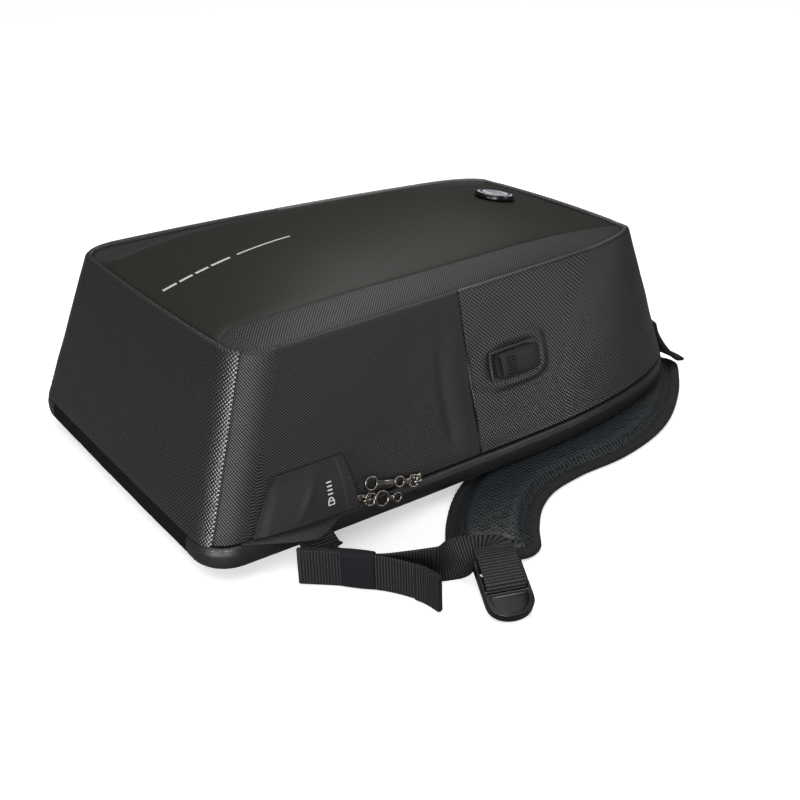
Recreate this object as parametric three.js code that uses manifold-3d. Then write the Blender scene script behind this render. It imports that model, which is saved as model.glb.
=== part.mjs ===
// An anti-theft backpack lying on its back, as it rests on a table or floor.
// Units are millimetres. +X points to the top of the bag, -Y to the side with the charging port
// and +Z to the bag's front face, which looks up. The origin is the middle of the back pad's flat
// underside, so the floor is the plane Z = 0.
import * as THREE from "three";
import { mergeVertices } from "three/addons/utils/BufferGeometryUtils.js";
import Module from "manifold-3d";

const manifold = await Module();
manifold.setup();

// Clearances
const GAP = 0.3; // between pieces that are sewn or fitted together
const SEAM_GAP = 0.5; // between two panels at an upright seam

// Base outline, where the walls meet the back edge trim
const BAG_LENGTH = 460;
const BASE_WIDTH_BOTTOM = 316; // width at the bag's bottom end
const BASE_WIDTH_TOP = 304;
const BASE_SIDE_BOW = 5;
const BASE_BOTTOM_BOW = 1;
const BASE_TOP_BOW = 9;
const BASE_CORNER = { bottomX: 24, bottomY: 26, topX: 190, topY: 68 };

// Rim outline, where the walls roll over to the front face
const RIM_SETBACK_BOTTOM = 42; // how far the bottom wall leans in
const RIM_SETBACK_TOP = 38;
const RIM_WIDTH_BOTTOM = 280;
const RIM_WIDTH_TOP = 224;
const RIM_SIDE_BOW = 6;
const RIM_BOTTOM_BOW = 4;
const RIM_TOP_BOW = 8;
const RIM_CORNER = { bottomX: 30, bottomY: 30, topX: 66, topY: 22 };

// Heights above the floor
const TRIM_UNDERSIDE = 11;
const TRIM_HEIGHT = 16;
const ZIP_SLOT = 2.2; // open slot between the trim and the walls
const RIM_HEIGHT_BOTTOM = 143.5;
const RIM_HEIGHT_TOP = 141;
const RIM_RISE = 1.5; // extra height half-way along

// Walls and trim
const WALL = 3; // fabric on foam
const ROLL_RADIUS = 3.5; // rolled edge along the rim
const TRIM_DEPTH = 9;
const TRIM_BULGE = 1.8;
const COIL_SETBACK = 1;
const COIL_DEPTH = 6;

// Front face
const FRONT_CROWN = 22; // rise of the front face over the rim valley
const CROWN_RAMP = 140; // length over which it rises from each end
const CROWN_SHAPE = 2.2; // how square the crown is across the bag
const VALLEY_DROP = 2; // depth of the valley beside the rolled edge
const FACE_CLOTH = 3;
const BORDER_SHARE = 0.78; // the smooth panel's share of the face's width

// Badge
const BADGE_ALONG = 359; // distance from the bag's bottom end
const BADGE_RADIUS = 17;
const BADGE_THICKNESS = 4;
const BADGE_RIM = 2;
const BADGE_BEVEL = 0.8;
const BADGE_STANDOFF = 0.6; // keeps the flat badge clear of the domed panel

// Back
const BACK_PLATE = 7;
const PLATE_GAP = 0.9; // between the plate and the trim round it
const BACK_PAD_LENGTH = 350;
const BACK_PAD_WIDTH = 196;
const BACK_PAD_CORNER = 34;
const BACK_PAD_BEVEL = 5;

// Where the two panels of each side meet, along from the bottom end
const SIDE_SEAM = 219;

// Charging port
const PORT = { along: 260, up: 0.5, length: 38, height: 19, depth: 9, corner: 4, bevel: 1.6 };
const PORT_BASE = { length: 45, height: 23, depth: 2.2 };
const SOCKET = { width: 13, height: 6, depth: 12 };
const PORT_STANDOFF = 0.6; // keeps the flat base clear of the curved wall

// Pocket flap over the ends of the zip pulls
const FLAP = { start: 30, end: 106, topStart: 49, topEnd: 103, rise: 0.31 };
const FLAP_CLOTH = { thickness: 1.6, lift: 8.5, edgeLift: 0.4 };

// Zip sliders and pulls
const SLIDER = { length: 11, height: 9, body: 2.6, corner: 2.5, bevel: 0.6, standoff: 0.9 };
const BRIDGE = { rise: 3, span: 5, wall: 1.6, across: 2.4 };
const PULL = { thickness: 2, crossbar: 1.7, play: 1.5, eyeWidth: 6.4, band: 1.7 };
const UPPER_SLIDER = 157;
const LOWER_SLIDER = 114.5;
const UPPER_PULL = {
  turn: 164.7,
  neck: 5,
  rings: [
    { distance: 15, outer: 4.6, hole: 2.6 },
    { distance: 38, outer: 5.5, hole: 3.8 },
  ],
};
const LOWER_PULL = {
  turn: -14,
  neck: 4.5,
  rings: [
    { distance: 12.5, outer: 6.2, hole: 4.2 },
    { distance: 25, outer: 4, hole: 2.2 },
  ],
};

// Shoulder straps
const STRAP_REACH = 250; // how far the straps spread from the bag's middle line
const STRAP_HALF_WIDTH = 31;
const STRAP_CORNER = 16;
const STRAP_FLANGE = 2.4;
const STRAP_FLANGE_WIDTH = 8;
const STRAP_THICKNESS = 9.5;
const STRAP_BEVEL = 2;
const STRAP_LIFT = 0.3;
const BINDING = 1.2;
const BINDING_WIDTH = 6.5;
const ROOT = { from: 1.88, to: 2.2, up: 0.16, thickness: 3, reachOuter: 21, reachInner: 8, standoff: 1.1 };

// Webbing, keeper and buckle
const WEBBING = 25;
const WEBBING_SLACK = 1; // play at each edge of the webbing in the buckle's slots
const WEBBING_THICKNESS = 1.5;
const TAIL_STEPS = 14;
const HEM_STEPS = 2.2; // length of the tail's hem, in steps
const LAYER = 2.1; // pitch of webbing layers in the keeper
const HEM_THICKNESS = 3.6;
const KEEPER = { length: 22, wall: 1.1, row: 3 };
const BUCKLE_STRIP = { width: 18, aside: 7, overlap: 14, slack: 4 };
const BUCKLE = { length: 44, width: 31, thickness: 7, bar: 5, slot: 5, end: 14, nose: 1 };
const BUCKLE_PLACE = { along: 0.304, out: 1.128, heading: -110, tilt: 25 };

// Three-cornered tab that anchors each strap
const WING = { start: 22, end: 104, tip: 0.6, reach: 14, drop: 8, tuck: 0.5, thickness: 1.2 };

// Where an upright seam's gap is measured, as places on the outline
const GAP_AT = { bottomEnd: 7, bottomCorner: 7.5, farCorner: 5.5, farBottom: 6, topEnd: 2.1 };

// Materials
const paint = (color, roughness, metalness = 0) =>
  new THREE.MeshStandardMaterial({ color, roughness, metalness });
const SMOOTH = paint(0x2a2926, 0.5);
const FABRIC = paint(0x26272a, 0.85);
const COARSE = paint(0x2b2c2e, 0.85);
const LEATHER = paint(0x1b1b1c, 0.4);
const MESH_CLOTH = paint(0x1a2129, 0.9);
const TAPE = paint(0x242222, 0.85);
const ELASTIC = paint(0x1c232d, 0.8);
const PLASTIC = paint(0x1e1e1f, 0.45);
const METAL = paint(0x6a625a, 0.25, 1);
const BADGE = paint(0xe8e8ea, 0.3);

const point = (x, y, z) => new THREE.Vector3(x, y, z);
const mix = THREE.MathUtils.lerp;
const HALF_LENGTH = BAG_LENGTH / 2;
const TRIM_TOP = TRIM_UNDERSIDE + TRIM_HEIGHT;
const WALL_FOOT = TRIM_TOP + ZIP_SLOT;

// A closed body from rings of points. Each ring has an even number of points, and an end is closed
// by joining each point to the one opposite it, counted from the ring's first and last points.
function bodyFromRings(rings, joined = false) {
  const size = rings[0].length;
  const faces = [];
  const spans = joined ? rings.length : rings.length - 1;
  for (let i = 0; i < spans; i++) {
    const a = i * size;
    const b = ((i + 1) % rings.length) * size;
    for (let j = 0; j < size; j++) {
      const k = (j + 1) % size;
      faces.push(a + j, b + j, b + k, a + j, b + k, a + k);
    }
  }
  if (!joined) {
    const end = (rings.length - 1) * size;
    for (let j = 0; j < size / 2 - 1; j++) {
      const [a, b, c, d] = [j, j + 1, size - 2 - j, size - 1 - j];
      faces.push(a, b, c, a, c, d);
      faces.push(end + c, end + b, end + a, end + d, end + c, end + a);
    }
  }
  return facingOut(rings.flat(), faces);
}

// An indexed geometry whose faces point outwards, whichever way they were listed.
function facingOut(points, faces) {
  let volume = 0;
  for (let i = 0; i < faces.length; i += 3) {
    const [p, q, r] = [points[faces[i]], points[faces[i + 1]], points[faces[i + 2]]];
    volume += p.dot(q.clone().cross(r));
  }
  if (volume < 0) faces.reverse();
  const geometry = new THREE.BufferGeometry();
  const numbers = points.flatMap((spot) => spot.toArray());
  geometry.setAttribute("position", new THREE.Float32BufferAttribute(numbers, 3));
  geometry.setIndex(faces);
  return geometry;
}

// A sheet between an outer and an inner surface, each a function of (a, b) from 0 to 1.
function sheet(columns, rows, outer, inner) {
  const rings = [];
  for (let i = 0; i <= columns; i++) {
    const ring = [];
    for (let j = 0; j <= rows; j++) ring.push(outer(i / columns, j / rows));
    for (let j = rows; j >= 0; j--) ring.push(inner(i / columns, j / rows));
    rings.push(ring);
  }
  return bodyFromRings(rings);
}

// Turns a geometry into a solid that can be cut and joined, and back again.
function toSolid(geometry) {
  const bare = new THREE.BufferGeometry().setAttribute("position", geometry.getAttribute("position"));
  if (geometry.index) bare.setIndex(geometry.index);
  const merged = mergeVertices(bare, 1e-4);
  return new manifold.Manifold(
    new manifold.Mesh({
      numProp: 3,
      vertProperties: merged.attributes.position.array,
      triVerts: new Uint32Array(merged.index.array),
    }),
  );
}
function toGeometry(solid) {
  const mesh = solid.getMesh();
  const geometry = new THREE.BufferGeometry();
  geometry.setAttribute("position", new THREE.BufferAttribute(Float32Array.from(mesh.vertProperties), 3));
  geometry.setIndex(new THREE.BufferAttribute(Uint32Array.from(mesh.triVerts), 1));
  return geometry;
}

const bag = new THREE.Group();
function add(name, geometry, material, parent = bag) {
  const mesh = new THREE.Mesh(geometry, material);
  mesh.name = name;
  parent.add(mesh);
  return mesh;
}

// A closed outline of four bowed sides and four rounded corners, read at t from 0 to 8:
// 0-1 the port side from bottom to top, 1-2 a corner, 2-3 the top end, 3-4 a corner,
// 4-5 the far side, 5-6 a corner, 6-7 the bottom end, 7-8 a corner.
function makeOutline(x0, x1, width0, width1, bows, corner) {
  const corners = [
    new THREE.Vector2(x0, -width0 / 2),
    new THREE.Vector2(x1, -width1 / 2),
    new THREE.Vector2(x1, width1 / 2),
    new THREE.Vector2(x0, width0 / 2),
  ];
  const setbacks = [
    [corner.bottomX, corner.topX],
    [corner.topY, corner.topY],
    [corner.topX, corner.bottomX],
    [corner.bottomY, corner.bottomY],
  ];
  const side = (i, share) => {
    const from = corners[i];
    const to = corners[(i + 1) % 4];
    const run = to.clone().sub(from);
    const length = run.length();
    const t = mix(setbacks[i][0] / length, 1 - setbacks[i][1] / length, share);
    const outward = new THREE.Vector2(run.y, -run.x).divideScalar(length);
    return from.clone().addScaledVector(run, t).addScaledVector(outward, 4 * bows[i] * t * (1 - t));
  };
  const STEP = 0.02;
  const cornerAt = (i, share) => {
    const a = side(i, 1);
    const b = side((i + 1) % 4, 0);
    const u = a.clone().sub(side(i, 1 - STEP));
    const v = b.clone().sub(side((i + 1) % 4, STEP));
    const reach = b.clone().sub(a);
    const k = (reach.x * v.y - reach.y * v.x) / (u.x * v.y - u.y * v.x);
    const peak = a.clone().addScaledVector(u, k);
    const PULL = 0.8;
    const [p, q, r] = [(1 - share) ** 2, 2 * PULL * share * (1 - share), share ** 2];
    return a.multiplyScalar(p).addScaledVector(peak, q).addScaledVector(b, r).divideScalar(p + q + r);
  };
  return (t) => {
    const s = ((t % 8) + 8) % 8;
    const part = Math.floor(s);
    const share = s - part;
    return part % 2 === 0 ? side(part / 2, share) : cornerAt((part - 1) / 2, share);
  };
}

const baseOutline = makeOutline(
  -HALF_LENGTH,
  HALF_LENGTH,
  BASE_WIDTH_BOTTOM,
  BASE_WIDTH_TOP,
  [BASE_SIDE_BOW, BASE_TOP_BOW, BASE_SIDE_BOW, BASE_BOTTOM_BOW],
  BASE_CORNER,
);
const RIM_START = -HALF_LENGTH + RIM_SETBACK_BOTTOM;
const RIM_END = HALF_LENGTH - RIM_SETBACK_TOP;
const rimOutline = makeOutline(
  RIM_START,
  RIM_END,
  RIM_WIDTH_BOTTOM,
  RIM_WIDTH_TOP,
  [RIM_SIDE_BOW, RIM_TOP_BOW, RIM_SIDE_BOW, RIM_BOTTOM_BOW],
  RIM_CORNER,
);
function rimHeight(x) {
  const u = (x - RIM_START) / (RIM_END - RIM_START);
  return mix(RIM_HEIGHT_BOTTOM, RIM_HEIGHT_TOP, u) + 4 * RIM_RISE * u * (1 - u);
}

// An outline's point and unit direction at t, and the point at a distance outwards from it
const TANGENT_STEP = 0.01;
function outlineSpot(outline, t) {
  const run = outline(t + TANGENT_STEP).sub(outline(t - TANGENT_STEP)).normalize();
  const spot = outline(t);
  return { beside: (out) => new THREE.Vector2(spot.x + run.y * out, spot.y - run.x * out) };
}

// A point on the ruled wall: t runs round the outline, up is 0 at the foot and 1 at the rim.
function onWall(t, up, foot = WALL_FOOT) {
  const low = baseOutline(t);
  const high = rimOutline(t);
  return point(mix(low.x, high.x, up), mix(low.y, high.y, up), mix(foot, rimHeight(high.x), up));
}
// The wall's own directions at t: along it, up it, and inwards through it, with the slant height.
function wallFrame(t, up, foot = WALL_FOOT) {
  const along = onWall(t + TANGENT_STEP, up, foot).sub(onWall(t - TANGENT_STEP, up, foot)).normalize();
  const rise = onWall(t, 1, foot).sub(onWall(t, 0, foot));
  const slant = rise.length();
  rise.normalize();
  const inward = rise.clone().cross(along).normalize();
  return { along, rise, inward, slant };
}
// The point of the wall's base at a distance from the bag's bottom end, as t on the port side.
function portSideAt(distance, up = 0) {
  let [low, high] = [-0.5, 2];
  const target = distance - HALF_LENGTH;
  for (let i = 0; i < 40; i++) {
    const middle = (low + high) / 2;
    if (onWall(middle, up).x < target) low = middle;
    else high = middle;
  }
  return (low + high) / 2;
}
// The same length of seam gap at any t, as a step of t.
function seamStep(t, up = 0) {
  const STEP = 0.05;
  return (SEAM_GAP / onWall(t + STEP, up).distanceTo(onWall(t - STEP, up))) * 2 * STEP;
}

// Wall panels: a wall with a rolled edge along the rim. The two ends are functions of the share of
// the height, each giving a place on the outline.
const ROLL_ANGLES = [135, 90, 45, 0, -45, -90];
function wallPanel(from, to, spans, foot = WALL_FOOT) {
  const rings = [];
  for (let i = 0; i <= spans; i++) {
    const place = (share) => mix(from(share), to(share), i / spans);
    const { slant, rise, inward } = wallFrame(place(0), 0, foot);
    const innerFoot = (-WALL * inward.z) / rise.z;
    const section = [
      [0, 0],
      [slant / 3, 0],
      [(2 * slant) / 3, 0],
      [slant, 0],
      ...ROLL_ANGLES.map((angle) => {
        const turn = THREE.MathUtils.degToRad(angle);
        return [slant + ROLL_RADIUS * Math.sin(turn), ROLL_RADIUS * (1 + Math.cos(turn))];
      }),
      [slant - 2 * ROLL_RADIUS, WALL],
      [(2 * slant) / 3, WALL],
      [slant / 3, WALL],
      [innerFoot, WALL],
    ];
    rings.push(
      section.map(([up, depth]) => {
        const share = Math.min(up / slant, 1);
        const t = place(share);
        const frame = wallFrame(t, share, foot);
        return onWall(t, share, foot)
          .addScaledVector(frame.rise, up - share * slant)
          .addScaledVector(frame.inward, depth);
      }),
    );
  }
  return bodyFromRings(rings);
}

const CORNER_SEAM = 7.45; // the upright seam in the bottom corner
const TOP_SEAM = 2.06; // the seam between the side and the top panel
const far = (t) => 5 - t; // the same place on the far side
const lowerFrom = () => CORNER_SEAM - 8;
const seamAt = (share) => portSideAt(SIDE_SEAM, share);
const lowerTo = (share) => seamAt(share) - seamStep(seamAt(share), share);
const upperTo = () => TOP_SEAM;
const mirrored = (end) => (share) => far(end(share));
const bottomFrom = () => far(CORNER_SEAM - 8) + seamStep(GAP_AT.farCorner);
const bottomTo = () => CORNER_SEAM - seamStep(GAP_AT.bottomCorner);
const topFrom = () => TOP_SEAM + seamStep(GAP_AT.topEnd);
add("bottom_panel", wallPanel(bottomFrom, bottomTo, 12, TRIM_TOP + GAP), COARSE);
add("side_panel_lower_port", wallPanel(lowerFrom, lowerTo, 8), FABRIC);
add("side_panel_upper_port", wallPanel(seamAt, upperTo, 12), COARSE);
add("top_panel", wallPanel(topFrom, mirrored(topFrom), 8), COARSE);
add("side_panel_upper_far", wallPanel(mirrored(upperTo), mirrored(seamAt), 12), COARSE);
add("side_panel_lower_far", wallPanel(mirrored(lowerTo), mirrored(lowerFrom), 8), FABRIC);

// Bands that follow the base outline: a section of (height above the floor, distance inwards)
function band(from, to, spans, section, joined = false) {
  const rings = [];
  const stations = joined ? spans - 1 : spans;
  for (let i = 0; i <= stations; i++) {
    const { beside } = outlineSpot(baseOutline, mix(from, to, i / spans));
    rings.push(
      section.map(([height, inward]) => {
        const spot = beside(-inward);
        return point(spot.x, spot.y, height);
      }),
    );
  }
  return bodyFromRings(rings, joined);
}
// The padded edge trim: a rounded bulge outside, flat inside. Heights are shares of the trim's height.
const TRIM_CURVE = [
  { height: 0, bulge: -1 },
  { height: 0.18, bulge: 0.4 },
  { height: 0.5, bulge: 1 },
  { height: 0.82, bulge: 0.5 },
  { height: 1, bulge: -1 },
];
function trimSection(bulge) {
  const level = (row) => TRIM_UNDERSIDE + row.height * TRIM_HEIGHT;
  const outside = TRIM_CURVE.map((row) => [level(row), -row.bulge * bulge]);
  const inside = TRIM_CURVE.map((row) => [level(row), TRIM_DEPTH]);
  return [...outside, ...inside.reverse()];
}
const TRIM_SPLIT = 6.97; // where the leather trim meets the cloth trim at the bottom end
const leatherEnd = far(TRIM_SPLIT - 8);
const leatherFrom = TRIM_SPLIT - 8 + seamStep(GAP_AT.bottomEnd);
const leatherTo = leatherEnd - seamStep(GAP_AT.farBottom);
add("trim_leather", band(leatherFrom, leatherTo, 44, trimSection(TRIM_BULGE)), LEATHER);
add("trim_bottom", band(leatherEnd, TRIM_SPLIT, 6, trimSection(TRIM_BULGE / 2)), TAPE);

// The zip: a coil in the slot between the trim and the walls, round three sides of the bag
const COIL_TOP = WALL_FOOT - GAP;
const COIL_FOOT = TRIM_TOP + GAP;
const coilSection = [
  [COIL_FOOT, COIL_SETBACK],
  [COIL_TOP, COIL_SETBACK],
  [COIL_TOP, COIL_DEPTH],
  [COIL_FOOT, COIL_DEPTH],
];
const coilFrom = CORNER_SEAM - 8 + seamStep(GAP_AT.bottomCorner);
const coilTo = far(CORNER_SEAM - 8) - seamStep(GAP_AT.farCorner);
add("zip", band(coilFrom, coilTo, 40, coilSection), TAPE);

// Front face: a smooth domed panel between two strips of cloth, inside the rolled rim
const FACE_INSET = 2 * ROLL_RADIUS + GAP;
const innerRim = (t) => outlineSpot(rimOutline, t).beside(-FACE_INSET);
function faceHalfWidth(x) {
  const u = (x - RIM_START) / (RIM_END - RIM_START);
  return mix(RIM_WIDTH_BOTTOM, RIM_WIDTH_TOP, u) / 2 + 4 * RIM_SIDE_BOW * u * (1 - u) - FACE_INSET;
}
function faceHeight(x, y) {
  const across = 1 - Math.min(1, Math.abs(y) / faceHalfWidth(x)) ** CROWN_SHAPE;
  const fromBottom = THREE.MathUtils.clamp((x - RIM_START) / CROWN_RAMP, 0, 1);
  const fromTop = THREE.MathUtils.clamp((RIM_END - x) / CROWN_RAMP, 0, 1);
  const lengthwise = (1 - (1 - fromBottom) ** 2) * (1 - (1 - fromTop) ** 2);
  return rimHeight(x) - VALLEY_DROP + FRONT_CROWN * across * lengthwise;
}
// Stations along the face, as places on the rim outline of the port side
const FACE_STATIONS = [-1, -0.7, -0.4, 0, 0.15, 0.3, 0.45, 0.6, 0.75, 0.9, 1.1, 1.4, 1.7, 2];
function facePoint(station, share, drop) {
  const place = station * (FACE_STATIONS.length - 1);
  const first = Math.min(Math.floor(place), FACE_STATIONS.length - 2);
  const t = mix(FACE_STATIONS[first], FACE_STATIONS[first + 1], place - first);
  const edge = innerRim(t);
  const bottomEnd = innerRim(-1).x;
  const topEnd = innerRim(2).x;
  const nearBottom = Math.max(0, 1 - (edge.x - bottomEnd) / RIM_CORNER.bottomX);
  const nearTop = Math.max(0, 1 - (topEnd - edge.x) / RIM_CORNER.topX);
  const y = share * Math.abs(edge.y);
  const topBow = RIM_TOP_BOW * (2 / RIM_WIDTH_TOP) ** 2;
  const bottomBow = RIM_BOTTOM_BOW * (2 / RIM_WIDTH_BOTTOM) ** 2;
  const x = edge.x + (topBow * nearTop - bottomBow * nearBottom) * (edge.y ** 2 - y ** 2);
  return point(x, y, faceHeight(x, y) - drop);
}
function faceStrip(from, to, rows) {
  const share = (station, b) => mix(from(station), to(station), b);
  return sheet(
    FACE_STATIONS.length - 1,
    rows,
    (a, b) => facePoint(a, share(a, b), 0),
    (a, b) => facePoint(a, share(a, b), FACE_CLOTH),
  );
}
// The smooth panel's edge, as a share of the half width at a station
function borderShare(station, offset = 0) {
  const spot = facePoint(station, 1, 0);
  return (BORDER_SHARE * faceHalfWidth(spot.x) + offset) / spot.y;
}
add("front_panel", faceStrip((a) => -borderShare(a), (a) => borderShare(a), 12), SMOOTH);
const portStrip = faceStrip(() => -1, (a) => -borderShare(a, SEAM_GAP), 3);
add("front_gusset_port", portStrip, FABRIC);
add("front_gusset_far", faceStrip((a) => borderShare(a, SEAM_GAP), () => 1, 3), FABRIC);

// Round badge on the front face, tilted with the dome under it
function onFace(along, across) {
  const x = along - HALF_LENGTH;
  const STEP = 4;
  const slopeX = (faceHeight(x + STEP, across) - faceHeight(x - STEP, across)) / (2 * STEP);
  const slopeY = (faceHeight(x, across + STEP) - faceHeight(x, across - STEP)) / (2 * STEP);
  const spot = point(x, across, faceHeight(x, across));
  return { spot, normal: point(-slopeX, -slopeY, 1).normalize() };
}
const badgeSeat = onFace(BADGE_ALONG, 0);
const badgeGroup = new THREE.Group();
badgeGroup.position.copy(badgeSeat.spot).addScaledVector(badgeSeat.normal, BADGE_STANDOFF);
badgeGroup.quaternion.setFromUnitVectors(point(0, 0, 1), badgeSeat.normal);
bag.add(badgeGroup);
function turned(rows, sides) {
  return new THREE.LatheGeometry(rows.map(([r, z]) => new THREE.Vector2(r, z)), sides).rotateX(Math.PI / 2);
}
const BADGE_FACE_RADIUS = BADGE_RADIUS - BADGE_RIM;
add(
  "badge_rim",
  turned(
    [
      [0, 0],
      [BADGE_RADIUS, 0],
      [BADGE_RADIUS, BADGE_THICKNESS - BADGE_BEVEL],
      [BADGE_RADIUS - BADGE_BEVEL, BADGE_THICKNESS],
      [BADGE_FACE_RADIUS + GAP, BADGE_THICKNESS],
      [BADGE_FACE_RADIUS + GAP, BADGE_THICKNESS / 2],
      [0, BADGE_THICKNESS / 2],
    ],
    24,
  ),
  PLASTIC,
  badgeGroup,
);
add(
  "badge_face",
  turned(
    [
      [0, BADGE_THICKNESS / 2 + GAP],
      [BADGE_FACE_RADIUS, BADGE_THICKNESS / 2 + GAP],
      [BADGE_FACE_RADIUS, BADGE_THICKNESS - GAP],
      [0, BADGE_THICKNESS],
    ],
    24,
  ),
  BADGE,
  badgeGroup,
);

// Back: a plate inside the trim, and a flat pad under it that the bag rests on
function insetOutline(inset, count) {
  const points = [];
  for (let i = 0; i < count; i++) points.push(outlineSpot(baseOutline, (8 * i) / count).beside(-inset));
  return points;
}
const plateShape = new THREE.Shape(insetOutline(TRIM_DEPTH + PLATE_GAP, 64));
const plate = new THREE.ExtrudeGeometry(plateShape, { depth: BACK_PLATE, bevelEnabled: false });
add("back_panel", plate.translate(0, 0, TRIM_UNDERSIDE), TAPE);

function roundedBox(length, width, depth, corner, bevel, bevelSegments = 1) {
  const [x, y] = [length / 2 - bevel, width / 2 - bevel];
  const r = Math.max(corner - bevel, 0.01);
  const shape = new THREE.Shape();
  shape.moveTo(-x + r, -y);
  shape.lineTo(x - r, -y);
  shape.absarc(x - r, -y + r, r, -Math.PI / 2, 0);
  shape.lineTo(x, y - r);
  shape.absarc(x - r, y - r, r, 0, Math.PI / 2);
  shape.lineTo(-x + r, y);
  shape.absarc(-x + r, y - r, r, Math.PI / 2, Math.PI);
  shape.lineTo(-x, -y + r);
  shape.absarc(-x + r, -y + r, r, Math.PI, 1.5 * Math.PI);
  const options = {
    depth: depth - 2 * bevel,
    bevelEnabled: bevel > 0,
    bevelThickness: bevel,
    bevelSize: bevel,
    bevelSegments,
    curveSegments: 4,
  };
  return new THREE.ExtrudeGeometry(shape, options).translate(0, 0, bevel);
}
const PAD_DEPTH = TRIM_UNDERSIDE - GAP;
const backPad = roundedBox(BACK_PAD_LENGTH, BACK_PAD_WIDTH, PAD_DEPTH, BACK_PAD_CORNER, BACK_PAD_BEVEL);
add("back_pad", backPad, MESH_CLOTH);

// A group seated on the wall: X along it, Y up it and Z outwards
function wallGroup(along, up, standoff) {
  const t = portSideAt(along, up);
  const { along: run, inward } = wallFrame(t, up);
  const outward = inward.clone().negate();
  const group = new THREE.Group();
  group.position.copy(onWall(t, up)).addScaledVector(outward, standoff);
  const axes = new THREE.Matrix4().makeBasis(run, outward.clone().cross(run), outward);
  group.quaternion.setFromRotationMatrix(axes);
  bag.add(group);
  return group;
}

// Charging port: a housing with a socket in its end, on a flat base
const port = wallGroup(PORT.along, PORT.up, PORT_STANDOFF);
const portPlate = roundedBox(PORT_BASE.length, PORT_BASE.height, PORT_BASE.depth, PORT.corner, 0);
add("port_base", portPlate, LEATHER, port);
const housing = toSolid(roundedBox(PORT.length, PORT.height, PORT.depth, PORT.corner, PORT.bevel, 2));
const socketBox = new THREE.BoxGeometry(2 * SOCKET.depth, SOCKET.width, SOCKET.height);
socketBox.translate(-PORT.length / 2, 0, PORT.depth / 2);
const portHousing = toGeometry(housing.subtract(toSolid(socketBox)));
add("port_housing", portHousing.translate(0, 0, PORT_BASE.depth + GAP), PLASTIC, port);

// Flap that pockets the zip pulls: open towards the top of the bag
const FLAP_LIFT = [
  { along: 0, lift: 0 },
  { along: 0.12, lift: 0.35 },
  { along: 0.5, lift: 0.9 },
  { along: 1, lift: 1 },
];
function flapLift(along, up) {
  const row = FLAP_LIFT.findIndex((entry) => entry.along >= along);
  const [low, high] = [FLAP_LIFT[Math.max(row - 1, 0)], FLAP_LIFT[row]];
  const share = row > 0 ? (along - low.along) / (high.along - low.along) : 0;
  const puff = 1 - up ** 3;
  const { lift, edgeLift } = FLAP_CLOTH;
  return edgeLift + (lift - edgeLift) * mix(low.lift, high.lift, share) * puff;
}
function flapPoint(a, b, extra) {
  const distance = mix(mix(FLAP.start, FLAP.topStart, b), mix(FLAP.end, FLAP.topEnd, b), a);
  const up = b * FLAP.rise;
  const t = portSideAt(distance, up);
  return onWall(t, up).addScaledVector(wallFrame(t, up).inward, -flapLift(a, b) - extra);
}
const flapOuter = (a, b) => flapPoint(a, b, FLAP_CLOTH.thickness);
const flapInner = (a, b) => flapPoint(a, b, 0);
add("lock_flap", sheet(8, 5, flapOuter, flapInner), FABRIC);

// Zip slider: a body over the coil, with a bridge that runs along the zip and holds the pull
function boxBetween(x0, x1, y0, y1, z0, z1) {
  const box = new THREE.BoxGeometry(x1 - x0, y1 - y0, z1 - z0);
  return toSolid(box.translate((x0 + x1) / 2, (y0 + y1) / 2, (z0 + z1) / 2));
}
function sliderGeometry() {
  const { length, height, body, corner, bevel } = SLIDER;
  const { rise, span, wall, across } = BRIDGE;
  const half = span / 2;
  const top = body + rise;
  const root = body - bevel;
  return toGeometry(
    toSolid(roundedBox(length, height, body, corner, bevel))
      .add(boxBetween(half, half + wall, -across / 2, across / 2, root, top + wall))
      .add(boxBetween(-half - wall, -half, -across / 2, across / 2, root, top + wall))
      .add(boxBetween(-half - wall, half + wall, -across / 2, across / 2, top, top + wall)),
  );
}
// Pull: a flat plate whose eye holds the slider's bridge, with a neck and rings.
// It runs along +X from the hinge axis, and is centred on it in thickness.
function disc(distance, radius, depth, segments) {
  const shape = new THREE.Shape();
  shape.absarc(distance, 0, radius, 0, 2 * Math.PI);
  const round = new THREE.ExtrudeGeometry(shape, { depth, bevelEnabled: false, curveSegments: segments });
  return toSolid(round.translate(0, 0, -depth / 2));
}
function pullGeometry(rings, neck) {
  const eyeInner = PULL.crossbar / 2;
  const eyeOuter = BRIDGE.span / 2 + BRIDGE.wall + PULL.play;
  const eyeHalf = PULL.eyeWidth / 2;
  const half = PULL.thickness / 2;
  const tip = rings[rings.length - 1].distance;
  const loopHalf = eyeHalf + PULL.band;
  let solid = boxBetween(-eyeInner, eyeOuter + PULL.band, -loopHalf, loopHalf, -half, half);
  solid = solid.add(boxBetween(eyeOuter + GAP, tip, -neck / 2, neck / 2, -half, half));
  for (const ring of rings) solid = solid.add(disc(ring.distance, ring.outer, PULL.thickness, 5));
  for (const ring of rings) solid = solid.subtract(disc(ring.distance, ring.hole, 3 * half, 4));
  const eye = boxBetween(eyeInner, eyeOuter, -eyeHalf, eyeHalf, -3 * half, 3 * half);
  return toGeometry(solid.subtract(eye));
}
// A slider seated over the zip. Its pull lies along the wall at a slope, either way along the zip.
function sliderWithPull(name, along, pull) {
  const seat = wallGroup(along, 0, SLIDER.standoff);
  add(name + "_slider", sliderGeometry(), METAL, seat);
  const hinge = new THREE.Group();
  hinge.position.set(0, 0, SLIDER.body + BRIDGE.rise / 2);
  hinge.rotation.z = THREE.MathUtils.degToRad(pull.turn);
  seat.add(hinge);
  add(name + "_pull", pullGeometry(pull.rings, pull.neck), METAL, hinge);
}
sliderWithPull("upper", UPPER_SLIDER, UPPER_PULL);
sliderWithPull("lower", LOWER_SLIDER, LOWER_PULL);

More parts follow.
